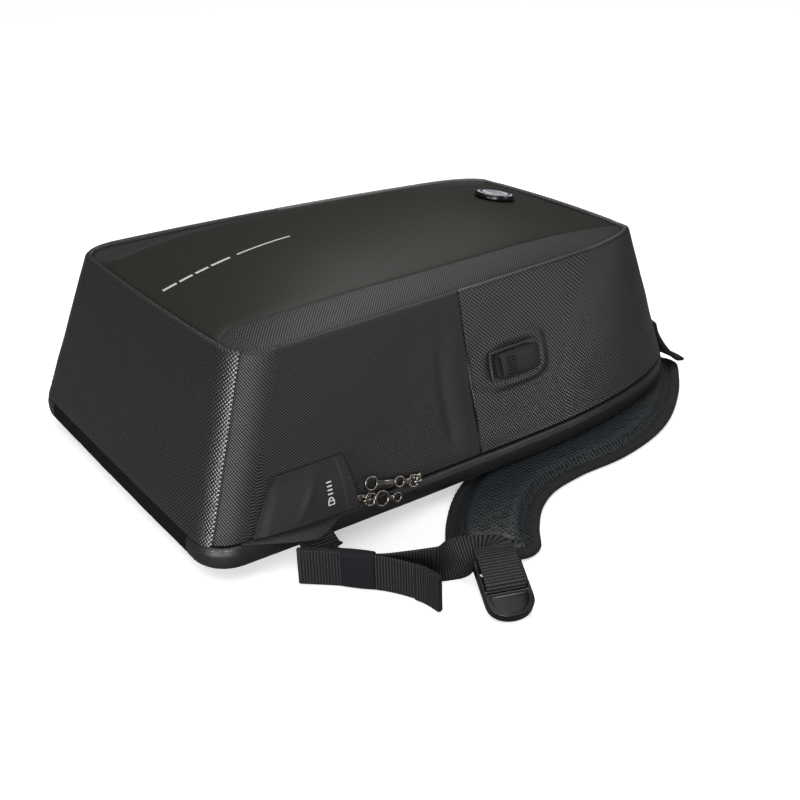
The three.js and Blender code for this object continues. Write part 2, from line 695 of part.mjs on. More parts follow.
// Wings: three-cornered tabs from the zip slot over the trim, which anchor the straps
function wing(group) {
  const place = (a, b, height) => {
    const along = mix(WING.start, WING.end, a);
    const tall = a < WING.tip ? a / WING.tip : (1 - a) / (1 - WING.tip);
    const out = mix(-WING.tuck, WING.tuck + WING.reach * tall, b);
    const spot = outlineSpot(baseOutline, portSideAt(along)).beside(out);
    const down = WING.drop * tall * b ** 2;
    return point(spot.x, spot.y, COIL_FOOT + height - down);
  };
  add(
    "strap_wing_" + group.name,
    sheet(8, 3, (a, b) => place(a, b, WING.thickness), (a, b) => place(a, b, 0)),
    FABRIC,
    group,
  );
}

// A smooth line through rows of a table, whose along and out are shares of the bag's length and
// of the straps' reach from its middle line
function tableCurve(rows) {
  const place = (row) => point(row.along * BAG_LENGTH - HALF_LENGTH, -row.out * STRAP_REACH, 0);
  return new THREE.CatmullRomCurve3(rows.map(place), false, "centripetal");
}
const STRAP_LINE = [
  { along: 1.024, out: 0.29 },
  { along: 0.924, out: 0.468 },
  { along: 0.822, out: 0.592 },
  { along: 0.717, out: 0.644 },
  { along: 0.62, out: 0.648 },
  { along: 0.533, out: 0.676 },
  { along: 0.467, out: 0.74 },
  { along: 0.413, out: 0.832 },
  { along: 0.36, out: 0.96 },
];
const strapCurve = tableCurve(STRAP_LINE);
const strapLength = strapCurve.getLength();
function onStrap(distance, across, height) {
  const within = THREE.MathUtils.clamp(distance, 0, strapLength);
  const run = strapCurve.getTangentAt(within / strapLength);
  const spot = strapCurve.getPointAt(within / strapLength).addScaledVector(run, distance - within);
  return point(spot.x + run.y * across, spot.y - run.x * across, height);
}
// The strap's edge, inset: half of it from the middle of one end to the middle of the other,
// as (distance along, distance across), then the other half back
function strapEdge(inset) {
  const r = STRAP_CORNER - inset;
  const half = STRAP_HALF_WIDTH - inset;
  const CORNER_STEPS = 3;
  const SIDE_STEPS = 11;
  const rows = [];
  for (let i = 0; i <= CORNER_STEPS; i++) {
    const turn = (Math.PI / 2) * (i / CORNER_STEPS);
    rows.push([STRAP_CORNER - r * Math.cos(turn), half - r + r * Math.sin(turn)]);
  }
  for (let i = 1; i < SIDE_STEPS; i++) {
    rows.push([mix(STRAP_CORNER, strapLength - STRAP_CORNER, i / SIDE_STEPS), half]);
  }
  for (let i = 0; i <= CORNER_STEPS; i++) {
    const turn = (Math.PI / 2) * (1 - i / CORNER_STEPS);
    rows.push([strapLength - STRAP_CORNER + r * Math.cos(turn), half - r + r * Math.sin(turn)]);
  }
  const back = rows.map(([distance, across]) => [distance, -across]).reverse();
  return [...rows, ...back];
}
function strapRing(inset, height) {
  return strapEdge(inset).map(([distance, across]) => onStrap(distance, across, height));
}
function strap(group) {
  const under = BINDING + GAP + STRAP_LIFT;
  const over = under + STRAP_FLANGE;
  const pad = bodyFromRings([
    strapRing(STRAP_FLANGE_WIDTH, 0),
    strapRing(STRAP_FLANGE_WIDTH, under),
    strapRing(0, under),
    strapRing(0, over),
    strapRing(STRAP_FLANGE_WIDTH, over),
    strapRing(STRAP_FLANGE_WIDTH, STRAP_THICKNESS - STRAP_BEVEL),
    strapRing(STRAP_FLANGE_WIDTH + STRAP_BEVEL, STRAP_THICKNESS),
  ]);
  add("strap_pad_" + group.name, pad, MESH_CLOTH, group);
  const section = [
    [BINDING_WIDTH, under - GAP],
    [-GAP, under - GAP],
    [-GAP, over + GAP],
    [BINDING_WIDTH, over + GAP],
    [BINDING_WIDTH, over + GAP + BINDING],
    [-GAP - BINDING, over + GAP + BINDING],
    [-GAP - BINDING, under - GAP - BINDING],
    [BINDING_WIDTH, under - GAP - BINDING],
  ];
  const loops = section.map(([inset, height]) => strapRing(inset, height));
  const rings = loops[0].map((spot, i) => loops.map((loop) => loop[i]));
  add("strap_binding_" + group.name, bodyFromRings(rings, true), TAPE, group);
}

// A flat ribbon along a curve. Its width leans from lying flat (0) to standing on edge (90 degrees),
// and from level to steep, as a value read along the curve.
function ribbon(curve, steps, width, thickness, leanAt) {
  const rings = [];
  for (let i = 0; i <= steps; i++) {
    const u = i / steps;
    const spot = curve.getPointAt(u);
    const run = curve.getTangentAt(u);
    const flat = point(run.y, -run.x, 0).normalize();
    const upright = run.clone().cross(flat).normalize();
    const lean = THREE.MathUtils.degToRad(leanAt(u));
    const across = flat.clone().multiplyScalar(Math.cos(lean)).addScaledVector(upright, Math.sin(lean));
    const through = run.clone().cross(across).normalize();
    const half = {
      across: across.multiplyScalar(width / 2),
      through: through.multiplyScalar(thickness / 2),
    };
    const corner = (a, b) => spot.clone().addScaledVector(half.across, a).addScaledVector(half.through, b);
    rings.push([corner(1, 1), corner(-1, 1), corner(-1, -1), corner(1, -1)]);
  }
  return bodyFromRings(rings);
}

// A sheet of even thickness about a middle surface (a, b), with its ends closed
function evenSheet(columns, rows, middle, thickness) {
  const STEP = 0.01;
  const side = (sign) => (a, b) => {
    const a0 = Math.max(a - STEP, 0);
    const a1 = Math.min(a + STEP, 1);
    const b0 = Math.max(b - STEP, 0);
    const b1 = Math.min(b + STEP, 1);
    const run = middle(a1, b).sub(middle(a0, b));
    const rise = middle(a, b1).sub(middle(a, b0));
    return middle(a, b).addScaledVector(run.cross(rise).normalize(), (sign * thickness) / 2);
  };
  return sheet(columns, rows, side(1), side(-1));
}
// Strap root: a folded tab from the top panel, over the trim and down on to the strap pad
const ROOT_FOLD = [
  { out: 0.1, down: 0.12 },
  { out: 0.35, down: 0.5 },
  { out: 0.62, down: 0.86 },
  { out: 0.82, down: 1 },
  { out: 1, down: 1 },
];
function strapRoot(group) {
  const clear = ROOT.thickness / 2 + ROOT.standoff;
  const middle = (a, b) => {
    const t = mix(ROOT.from, ROOT.to, a);
    const { beside } = outlineSpot(baseOutline, t);
    const reach = mix(ROOT.reachOuter, ROOT.reachInner, a);
    const wallRow = (up) => onWall(t, up).addScaledVector(wallFrame(t, up).inward, -clear);
    const bend = TRIM_BULGE + clear;
    const foot = STRAP_THICKNESS + GAP + ROOT.thickness / 2;
    const rows = [wallRow(ROOT.up), wallRow(ROOT.up / 2)];
    for (const row of ROOT_FOLD) {
      const spot = beside(bend + row.out * reach);
      rows.push(point(spot.x, spot.y, mix(WALL_FOOT, foot, row.down)));
    }
    const place = b * (rows.length - 1);
    const first = Math.min(Math.floor(place), rows.length - 2);
    return rows[first].clone().lerp(rows[first + 1], place - first);
  };
  add("strap_root_" + group.name, evenSheet(4, 7, middle, ROOT.thickness), TAPE, group);
}

// Webbing that stands on its edge: a strip drawn in plan and raised by its width
const WEBBING_FOOT = KEEPER.wall + GAP;
function planPoints(rows) {
  const place = (row) => [row.along * BAG_LENGTH - HALF_LENGTH, -row.out * STRAP_REACH];
  return rows.map((row) => new THREE.Vector2(...place(row)));
}
function planStrip(line, halfThickness, width, foot) {
  const sides = [[], []];
  line.forEach((spot, i) => {
    const before = line[Math.max(i - 1, 0)];
    const after = line[Math.min(i + 1, line.length - 1)];
    const run = after.clone().sub(before).normalize();
    const half = halfThickness(i / (line.length - 1));
    sides[0].push(new THREE.Vector2(spot.x - run.y * half, spot.y + run.x * half));
    sides[1].push(new THREE.Vector2(spot.x + run.y * half, spot.y - run.x * half));
  });
  const ring = (height) => [...sides[0], ...sides[1].reverse()].map((p) => point(p.x, p.y, height));
  const low = ring(foot);
  sides[1].reverse();
  const high = ring(foot + width);
  return bodyFromRings([low, high]);
}
const TAIL_LINE = [
  { along: 0.224, out: 1.056 },
  { along: 0.2196, out: 1.0 },
  { along: 0.204, out: 0.935 },
  { along: 0.1856, out: 0.886 },
  { along: 0.1465, out: 0.806 },
  { along: 0.107, out: 0.74 },
];
const LEAD_LINE = [
  { along: 0.257, out: 0.95 },
  { along: 0.222, out: 0.922 },
  { along: 0.1856, out: 0.886 },
  { along: 0.1465, out: 0.806 },
  { along: 0.107, out: 0.74 },
];
function smoothLine(rows, steps) {
  return tableCurve(rows)
    .getSpacedPoints(steps)
    .map((spot) => new THREE.Vector2(spot.x, spot.y));
}
function shifted(line, distance) {
  return line.map((spot, i) => {
    const before = line[Math.max(i - 1, 0)];
    const run = line[Math.min(i + 1, line.length - 1)].clone().sub(before).normalize();
    return new THREE.Vector2(spot.x - run.y * distance, spot.y + run.x * distance);
  });
}
function webbingTail(group) {
  const front = smoothLine(TAIL_LINE, TAIL_STEPS);
  const back = shifted(smoothLine(LEAD_LINE, TAIL_STEPS), -LAYER);
  const turnFrom = front[front.length - 1];
  const middle = turnFrom.clone().add(back[back.length - 1]).multiplyScalar(0.5);
  const turned = (share) => turnFrom.clone().rotateAround(middle, -Math.PI * share);
  const fold = [0.25, 0.5, 0.75].map(turned);
  const line = [...front, ...fold, ...back.reverse()];
  const hemShare = HEM_STEPS / line.length;
  const half = (share) => (share < hemShare ? HEM_THICKNESS : WEBBING_THICKNESS) / 2;
  add("webbing_tail_" + group.name, planStrip(line, half, WEBBING, WEBBING_FOOT), TAPE, group);
}
// Keeper: an elastic sleeve round the two layers of the tail and the anchor strip behind them
const heldFrom = planPoints(TAIL_LINE)[KEEPER.row];
const heldTo = planPoints(TAIL_LINE)[KEEPER.row + 1];
const heldRun = heldTo.clone().sub(heldFrom).normalize();
const heldBehind = new THREE.Vector2(heldRun.y, -heldRun.x);
const heldMiddle = heldFrom.clone().add(heldTo).multiplyScalar(0.5).addScaledVector(heldBehind, LAYER);
const WEBBING_MIDDLE = WEBBING_FOOT + WEBBING / 2;
function keeper(group) {
  const inside = [KEEPER.length * 2, 2 * LAYER + WEBBING_THICKNESS + 2 * GAP, WEBBING + 2 * GAP];
  const outside = [KEEPER.length, inside[1] + 2 * KEEPER.wall, inside[2] + 2 * KEEPER.wall];
  const hollow = toSolid(new THREE.BoxGeometry(...inside));
  const sleeve = toSolid(new THREE.BoxGeometry(...outside)).subtract(hollow);
  const mesh = add("keeper_" + group.name, toGeometry(sleeve), ELASTIC, group);
  mesh.rotation.z = heldRun.angle();
  mesh.position.set(heldMiddle.x, heldMiddle.y, WEBBING_MIDDLE);
}
// Anchor: the strip from under the wing's tip into the keeper, turning on to its edge on the way
// Its start, as shares of the wing's reach and drop, and its end, as distances from the keeper
const ANCHOR_START = [
  { reach: 0.24, drop: 0.12 },
  { reach: 0.6, drop: 0.55 },
  { reach: 1.1, drop: 1.1 },
];
const ANCHOR_END = [
  { distance: 9, behind: 3 * LAYER },
  { distance: 1, behind: LAYER },
  { distance: 2 - KEEPER.length, behind: LAYER },
];
const ANCHOR_TURN = { from: 0.25, to: 0.62 };
function anchor(group) {
  const { beside } = outlineSpot(baseOutline, portSideAt(mix(WING.start, WING.end, WING.tip)));
  const under = COIL_FOOT - GAP - WEBBING_THICKNESS;
  const rows = ANCHOR_START.map(({ reach, drop }) => {
    const spot = beside(WING.reach * reach);
    return point(spot.x, spot.y, under - WING.drop * drop);
  });
  for (const { distance, behind } of ANCHOR_END) {
    const spot = heldMiddle.clone().addScaledVector(heldBehind, behind);
    spot.addScaledVector(heldRun, KEEPER.length / 2 + distance);
    rows.push(point(spot.x, spot.y, WEBBING_MIDDLE));
  }
  const curve = new THREE.CatmullRomCurve3(rows, false, "centripetal");
  const lean = (u) => 90 * THREE.MathUtils.smoothstep(u, ANCHOR_TURN.from, ANCHOR_TURN.to);
  add("webbing_anchor_" + group.name, ribbon(curve, 16, WEBBING, WEBBING_THICKNESS, lean), TAPE, group);
}
// Buckle: a slotted plate with a round end, tipped so that the round end touches the floor
function buckle(group) {
  const { length, width, thickness, bar, slot, end, nose } = BUCKLE;
  const shape = new THREE.Shape();
  shape.moveTo(-length / 2, -width / 2 + bar / 2);
  shape.lineTo(-length / 2 + bar / 2, -width / 2);
  shape.lineTo(length / 2 - end, -width / 2);
  shape.quadraticCurveTo(length / 2 - nose, -width / 2 + nose, length / 2, 0);
  shape.quadraticCurveTo(length / 2 - nose, width / 2 - nose, length / 2 - end, width / 2);
  shape.lineTo(-length / 2 + bar / 2, width / 2);
  shape.lineTo(-length / 2, width / 2 - bar / 2);
  const options = { depth: thickness, bevelEnabled: false, curveSegments: 5 };
  const plate = new THREE.ExtrudeGeometry(shape, options);
  let solid = toSolid(plate.translate(0, 0, -thickness / 2));
  const halfSlot = WEBBING / 2 + WEBBING_SLACK;
  for (const place of [0, 1]) {
    const from = -length / 2 + bar + place * (slot + bar);
    solid = solid.subtract(boxBetween(from, from + slot, -halfSlot, halfSlot, -thickness, thickness));
  }
  const mesh = add("buckle_" + group.name, toGeometry(solid), PLASTIC, group);
  mesh.rotation.order = "ZYX";
  mesh.rotation.z = buckleHeading;
  mesh.rotation.y = tilt;
  mesh.position.copy(buckleSeat);
}
const tilt = THREE.MathUtils.degToRad(BUCKLE_PLACE.tilt);
const buckleHeading = THREE.MathUtils.degToRad(BUCKLE_PLACE.heading);
const buckleLow = (BUCKLE.length / 2) * Math.sin(tilt) + (BUCKLE.thickness / 2) * Math.cos(tilt);
const buckleSeat = point(
  BUCKLE_PLACE.along * BAG_LENGTH - HALF_LENGTH,
  -BUCKLE_PLACE.out * STRAP_REACH,
  buckleLow + GAP,
);
function onBuckle(x, z, y = 0) {
  const spot = point(x, y, z).applyAxisAngle(point(0, 1, 0), tilt);
  return spot.applyAxisAngle(point(0, 0, 1), buckleHeading).add(buckleSeat);
}
// Lead: the strip from the tail's back layer, turning over and down into the buckle's second slot.
// Its start rises from the tail's line, and its end is placed from the buckle's end and top.
const LEAD_START = [
  { distance: 1, rise: 0 },
  { distance: 6, rise: 0 },
  { distance: 13, rise: 3 },
];
const LEAD_END = [
  { along: -6, rise: 8 },
  { along: 4, rise: 2.4 },
  { along: 11, rise: 0.1 },
  { along: 17, rise: -0.5 },
];
const LEAD_TURN = { from: 0.04, to: 0.55 };
function lead(group) {
  const back = shifted(smoothLine(LEAD_LINE, TAIL_STEPS), -LAYER);
  const run = back[0].clone().sub(back[1]).normalize();
  const rows = LEAD_START.map(({ distance, rise }) => {
    const spot = back[0].clone().addScaledVector(run, distance);
    return point(spot.x, spot.y, WEBBING_MIDDLE + rise);
  });
  const over = BUCKLE.thickness / 2 + GAP + WEBBING_THICKNESS;
  for (const { along, rise } of LEAD_END) rows.push(onBuckle(along - BUCKLE.length / 2, over + rise));
  const curve = new THREE.CatmullRomCurve3(rows, false, "centripetal");
  const leanAt = (u) => 90 * (1 - THREE.MathUtils.smoothstep(u, LEAD_TURN.from, LEAD_TURN.to));
  add("webbing_lead_" + group.name, ribbon(curve, 18, WEBBING, WEBBING_THICKNESS, leanAt), TAPE, group);
}
// Strip from the strap's lower end to the underside of the buckle
function buckleStrip(group) {
  const { width, aside, overlap, slack } = BUCKLE_STRIP;
  const top = STRAP_THICKNESS + GAP + WEBBING_THICKNESS / 2;
  const below = -BUCKLE.thickness / 2 - GAP - WEBBING_THICKNESS;
  const rows = [STRAP_FLANGE_WIDTH + overlap, STRAP_FLANGE_WIDTH + slack, 0].map((distance) =>
    onStrap(strapLength - distance, 0, top),
  );
  for (const along of [-slack / 2, BUCKLE.bar]) rows.push(onBuckle(along - BUCKLE.length / 2, below, aside));
  const curve = new THREE.CatmullRomCurve3(rows, false, "centripetal");
  const strip = ribbon(curve, 10, width, WEBBING_THICKNESS, () => 0);
  add("buckle_strip_" + group.name, strip, TAPE, group);
}

// The two shoulder straps. The far one lies as the port one does, mirrored.
for (const [name, mirror] of [["port", 1], ["far", -1]]) {
  const group = new THREE.Group();
  group.name = name;
  group.scale.y = mirror;
  bag.add(group);
  wing(group);
  strap(group);
  strapRoot(group);
  webbingTail(group);
  keeper(group);
  anchor(group);
  buckle(group);
  lead(group);
  buckleStrip(group);
}

export default bag;
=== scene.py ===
"""A box-shaped anti-theft backpack lying on its back, dressed over its CAD frame.

Shapes are numpy grids in millimetres, in the frame's own axes: +X to the top of the bag,
-Y to the side with the charging port, +Z to the front face, and the floor at Z = 0.
"""

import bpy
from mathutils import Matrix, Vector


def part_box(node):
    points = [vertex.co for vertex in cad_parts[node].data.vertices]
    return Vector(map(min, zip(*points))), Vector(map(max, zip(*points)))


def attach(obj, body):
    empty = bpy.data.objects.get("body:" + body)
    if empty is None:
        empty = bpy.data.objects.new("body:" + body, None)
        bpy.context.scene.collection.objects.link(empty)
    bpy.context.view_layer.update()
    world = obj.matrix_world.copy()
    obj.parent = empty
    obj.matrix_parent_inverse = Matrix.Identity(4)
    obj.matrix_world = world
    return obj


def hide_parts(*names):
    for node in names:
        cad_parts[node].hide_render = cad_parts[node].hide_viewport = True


bl_info = {
    "name": "Anti-theft Backpack",
    "version": (1, 0, 0),
    "blender": (4, 5, 0),
    "location": "View3D > Sidebar > Backpack",
    "description": "Makes a padded box-shaped backpack with straps, zip pulls and a charging port",
    "category": "Add Mesh",
}

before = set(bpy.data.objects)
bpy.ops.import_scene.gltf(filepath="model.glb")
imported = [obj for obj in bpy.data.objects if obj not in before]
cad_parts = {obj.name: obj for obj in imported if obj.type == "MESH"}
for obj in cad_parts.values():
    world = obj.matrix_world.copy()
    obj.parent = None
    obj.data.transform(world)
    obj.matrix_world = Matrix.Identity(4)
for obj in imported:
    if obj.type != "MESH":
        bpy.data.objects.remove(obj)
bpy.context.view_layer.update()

import math

import bmesh
import bpy
import numpy as np
from bpy.props import FloatProperty, FloatVectorProperty, PointerProperty
from bpy.types import Operator, Panel, PropertyGroup
from mathutils import Matrix, Vector

MM = 0.001
BAG = "bag"


def box_mm(node):
    """The lowest and highest corner of a CAD node, in millimetres."""
    low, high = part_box(node)
    return np.array(low) / MM, np.array(high) / MM


# Sizes of the bag, in millimetres, as the frame has them. BASE and RIM are outlines: their ends
# in X, the width at each end, the bow of the port side, top end, far side and bottom end, and the
# setbacks along X and Y of the corners at the bottom and at the top end.
LENGTH = 460.0
HALF_LENGTH = LENGTH / 2
CLEARANCE = 0.3
BASE = dict(x=(-230, 230), width=(316, 304), bow=(5, 9, 5, 1), bottom=(24, 26), top=(190, 68))
RIM = dict(x=(-188, 192), width=(280, 224), bow=(6, 8, 6, 4), bottom=(30, 30), top=(66, 22))
RIM_HEIGHTS = (143.5, 141.0)
RIM_RISE = 1.5
TRIM_UNDERSIDE, TRIM_TOP = (box_mm("trim_leather")[i][2] for i in (0, 1))
WALL_FOOT = box_mm("side_panel_upper_port")[0][2]
TRIM_BULGE = 1.8
TRIM_DEPTH = 9.0
WALL = 3.0
ROLL = 3.5
FACE_INSET = 2 * ROLL + CLEARANCE
CROWN = dict(rise=22.0, ramp=140.0, shape=2.2, drop=-0.2)
BORDER_SHARE = 0.78

# Places on the wall: distances from the bottom end, or places t on the outline
SIDE_SEAM = 219.0
CORNER_SEAM = 7.45
PORT_CORNER = CORNER_SEAM - 8
TOP_SEAM = 2.06
SEAM_GAP = 0.5
PORT_DISTANCE = 260.0
WING_START, WING_END, WING_TIP = 22.0, 104.0, 0.6
FLAP_FOOT, FLAP_TOP, FLAP_HEIGHT = (30.0, 106.0), (49.0, 103.0), 0.31

T_STEP = 0.01  # directions along an outline are measured over this step of t, both ways
UP = np.array([0, 0, 1.0])


def mix(a, b, share):
    """The value between a and b at a share of the way."""
    return a + (b - a) * share


def smooth_step(low, high, value):
    """0 below low, 1 above high and 3s^2 - 2s^3 between them."""
    share = np.clip((value - low) / (high - low), 0, 1)
    return share * share * (3 - 2 * share)


def bump_at(value, centre, width):
    """A bell of height 1 at centre: exp of minus the squared distance in widths."""
    return np.exp(-(((value - centre) / width) ** 2))


def unit(vectors):
    return vectors / np.maximum(np.linalg.norm(vectors, axis=-1, keepdims=True), 1e-9)


def outline(t, form):
    """A closed outline of four bowed sides and four rounded corners, at t from 0 to 8.

    Side i runs from corner i to i + 1 between its setbacks, pushed outwards by the bow times
    4 s (1 - s). A corner is a rational quadratic curve between the ends of two sides, pulled
    towards the point where their tangents meet.
    """
    (x0, x1), (w0, w1) = form["x"], form["width"]
    (bottom_x, bottom_y), (top_x, top_y) = form["bottom"], form["top"]
    corners = np.array([(x0, -w0 / 2), (x1, -w1 / 2), (x1, w1 / 2), (x0, w0 / 2)], float)
    setbacks = ((bottom_x, top_x), (top_y, top_y), (top_x, bottom_x), (bottom_y, bottom_y))

    def side(i, share):
        run = corners[(i + 1) % 4] - corners[i]
        length = np.linalg.norm(run)
        start, end = setbacks[i][0] / length, 1 - setbacks[i][1] / length
        s = mix(start, end, np.asarray(share, float))[..., None]
        outward = np.array((run[1], -run[0])) / length
        return corners[i] + run * s + outward * (4 * form["bow"][i]) * s * (1 - s)

    def corner(i, share):
        step, pull = 0.02, 0.8
        a, b = side(i, 1.0), side((i + 1) % 4, 0.0)
        u, v, reach = a - side(i, 1 - step), b - side((i + 1) % 4, step), b - a
        k = (reach[0] * v[1] - reach[1] * v[0]) / (u[0] * v[1] - u[1] * v[0])
        peak = a + u * k
        s = share[:, None]
        p, q, r = (1 - s) ** 2, 2 * pull * s * (1 - s), s**2
        return (a * p + peak * q + b * r) / (p + q + r)

    t = np.mod(np.asarray(t, float), 8)
    part = np.floor(t).astype(int)
    share = t - part
    points = np.zeros(t.shape + (2,))
    for i in range(4):
        on_side, on_corner = part == 2 * i, part == 2 * i + 1
        points[on_side] = side(i, share[on_side])
        points[on_corner] = corner(i, share[on_corner])
    return points


def outline_run(t, form):
    """Unit tangents of an outline."""
    return unit(outline(t + T_STEP, form) - outline(t - T_STEP, form))


def beside_outline(t, form, out):
    """The x and y of points at distances outwards from an outline."""
    along, spot = outline_run(t, form), outline(t, form)
    return spot[..., 0] + along[..., 1] * out, spot[..., 1] - along[..., 0] * out


def rim_height(x):
    """The rim's height, which bows up between the bag's two ends."""
    u = (x - RIM["x"][0]) / (RIM["x"][1] - RIM["x"][0])
    return mix(RIM_HEIGHTS[0], RIM_HEIGHTS[1], u) + 4 * RIM_RISE * u * (1 - u)


def on_wall(t, up, foot=WALL_FOOT):
    """A point of the ruled wall: t runs round the outline, up is 0 at the foot and 1 at the rim."""
    t, up = np.broadcast_arrays(np.asarray(t, float), np.asarray(up, float))
    low, high = outline(t, BASE), outline(t, RIM)
    flat = mix(low, high, up[..., None])
    return np.concatenate([flat, mix(foot, rim_height(high[..., 0]), up)[..., None]], -1)


def wall_axes(t, up, foot=WALL_FOOT):
    """The wall's own directions: along it, up it and inwards through it."""
    along = unit(on_wall(t + T_STEP, up, foot) - on_wall(t - T_STEP, up, foot))
    rise = unit(on_wall(t, np.ones_like(t), foot) - on_wall(t, np.zeros_like(t), foot))
    return along, rise, unit(np.cross(rise, along))


PORT_TABLE = np.linspace(-0.6, 2.0, 521)


def port_side_at(distance, up=0.0):
    """The t of the port side at a distance from the bag's bottom end, for arrays of both."""
    distance, up = np.broadcast_arrays(np.asarray(distance, float), np.asarray(up, float))
    result = np.empty(distance.shape)
    for level in np.unique(up):
        xs = on_wall(PORT_TABLE, level)[:, 0]
        here = up == level
        result[here] = np.interp(distance[here] - HALF_LENGTH, xs, PORT_TABLE)
    return result


def far(t):
    """The same place on the far side."""
    return 5 - t


# Meshes from grids


def grid_faces(columns, rows, close_columns, close_rows):
    """Quads between neighbours of a grid of vertices, which may close on itself either way."""
    index = np.arange(columns * rows).reshape(columns, rows)
    a = index if close_columns else index[:-1]
    b = np.roll(index, -1, 0) if close_columns else index[1:]
    c, d = np.roll(b, -1, 1), np.roll(a, -1, 1)
    if not close_rows:
        a, b, c, d = (grid[:, :-1] for grid in (a, b, c, d))
    return np.stack([a, b, c, d], -1).reshape(-1, 4)


def cap_faces(columns, rows):
    """Quads that close both ends of a tube by joining each point to the one opposite it."""
    j = np.arange(rows // 2 - 1)
    first = np.stack([j, j + 1, rows - 2 - j, rows - 1 - j], -1)
    last = first[:, ::-1] + (columns - 1) * rows
    return np.concatenate([first, last])


def linked(name, data, place=None):
    """A new object of the scene that holds a mesh, a curve, a light or a camera."""
    holder = bpy.data.objects.new(name, data)
    if place is not None:
        holder.matrix_world = place
    bpy.context.scene.collection.objects.link(holder)
    return holder


def make_mesh(name, points, faces, uv=None, sharp=50):
    """A mesh object from points in millimetres and quads, facing outwards if it is closed."""
    points = np.asarray(points, float).reshape(-1, 3)
    faces = np.asarray(faces, np.int32)
    mesh = bpy.data.meshes.new(name)
    mesh.vertices.add(len(points))
    mesh.vertices.foreach_set("co", (points * MM).ravel().astype(np.float32))
    mesh.loops.add(faces.size)
    mesh.polygons.add(len(faces))
    mesh.polygons.foreach_set("loop_start", np.arange(0, faces.size, 4, dtype=np.int32))
    mesh.loops.foreach_set("vertex_index", faces.ravel())
    if uv is not None:
        layer = mesh.uv_layers.new(name="cloth")
        spots = np.asarray(uv, float).reshape(-1, 2)[faces.ravel()] * MM
        layer.data.foreach_set("uv", spots.ravel().astype(np.float32))
    mesh.update(calc_edges=True)
    mesh.validate()
    mesh.polygons.foreach_set("use_smooth", np.ones(len(mesh.polygons), bool))
    mesh.set_sharp_from_angle(angle=math.radians(sharp))
    return linked(name, mesh)


def signed_volume(points, faces):
    """Six times the volume that the quads enclose, positive where they face outwards."""
    p = points.reshape(-1, 3)
    a, b, c, d = (p[faces[:, i]] for i in range(4))
    first = np.einsum("ij,ij->i", a, np.cross(b, c))
    return float((first + np.einsum("ij,ij->i", a, np.cross(c, d))).sum())


def run_lengths(points):
    """How far each point of a line lies from its first one, along the line."""
    return np.concatenate([[0], np.cumsum(np.linalg.norm(np.diff(points, axis=0), axis=-1))])


def read_line(at, run, field):
    """The columns of a field that is known at distances run, read at other distances."""
    return np.stack([np.interp(at, run, column) for column in field.T], -1)


def arc_uv(points):
    """UV of a grid in millimetres: lengths along a row of the outside and across the middle."""
    columns, rows = points.shape[:2]
    u, v = run_lengths(points[:, rows // 3]), run_lengths(points[columns // 2])
    return np.stack(np.broadcast_arrays(u[:, None], v[None, :]), -1)


def tube(name, points, joined=False, uv=None, sharp=50):
    """A closed piece from sections: points[i] is the closed section at station i."""
    columns, rows = points.shape[:2]
    faces = grid_faces(columns, rows, joined, True)
    if not joined:
        faces = np.concatenate([faces, cap_faces(columns, rows)])
    if signed_volume(points, faces) < 0:
        faces = faces[:, ::-1]
    return make_mesh(name, points, faces, arc_uv(points) if uv is None else uv, sharp)


def normals_of(points, close_rows=False):
    """Unit normals of a grid, from the differences of its neighbours."""
    along = np.gradient(points, axis=0)
    if close_rows:
        across = np.roll(points, -1, 1) - np.roll(points, 1, 1)
    else:
        across = np.gradient(points, axis=1)
    return unit(np.cross(along, across))


def sheet_mesh(name, middle, thickness, uv=None, round_edge=4):
    """A sheet of even thickness about a grid, with its long edges rounded.

    Each section runs along one face, round a half circle, back along the other and round again.
    """
    normal = normals_of(middle)
    half = thickness / 2
    across = unit(np.gradient(middle, axis=1))
    turn = np.linspace(0, np.pi, round_edge + 2)[1:-1]
    top = middle + normal * half
    low = (middle - normal * half)[:, ::-1]

    def edge(column, sign):
        spot, up = middle[:, column, None], normal[:, column, None]
        out = across[:, column, None] * sign
        return spot + half * (np.sin(turn)[:, None] * out + np.cos(turn)[:, None] * up)

    sections = np.concatenate([top, edge(-1, 1), low, edge(0, -1)[:, ::-1]], 1)
    return tube(name, sections, uv=uv)


def join(name, pieces):
    """Joins mesh objects into one, keeping their UV maps and materials."""
    with bpy.context.temp_override(active_object=pieces[0], selected_editable_objects=pieces):
        bpy.ops.object.join()
    pieces[0].name = name
    pieces[0].data.name = name
    return pieces[0]


def finish_piece(piece, material, nodes=(), body=BAG):
    """Gives a piece its material, its body and the CAD nodes it stands for."""
    piece.data.materials.clear()
    piece.data.materials.append(material)
    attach(piece, body)
    if nodes:
        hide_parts(*nodes)
    return piece


# Smooth lines through tables, as the CAD source has them

STRAP_REACH = 250.0
STRAP_ROWS = ((1.024, .29), (.924, .468), (.822, .592), (.717, .644), (.62, .648),
              (.533, .676), (.467, .74), (.413, .832), (.36, .96))
TAIL_ROWS = ((.224, 1.056), (.2196, 1.0), (.204, .935), (.1856, .886), (.1465, .806), (.107, .74))
LEAD_ROWS = ((.257, .95), (.222, .922), (.1856, .886), (.1465, .806), (.107, .74))


def table_points(rows):
    """Rows of shares of the bag's length and of the straps' reach, as points on the floor."""
    return np.array([(a * LENGTH - HALF_LENGTH, -o * STRAP_REACH, 0) for a, o in rows])


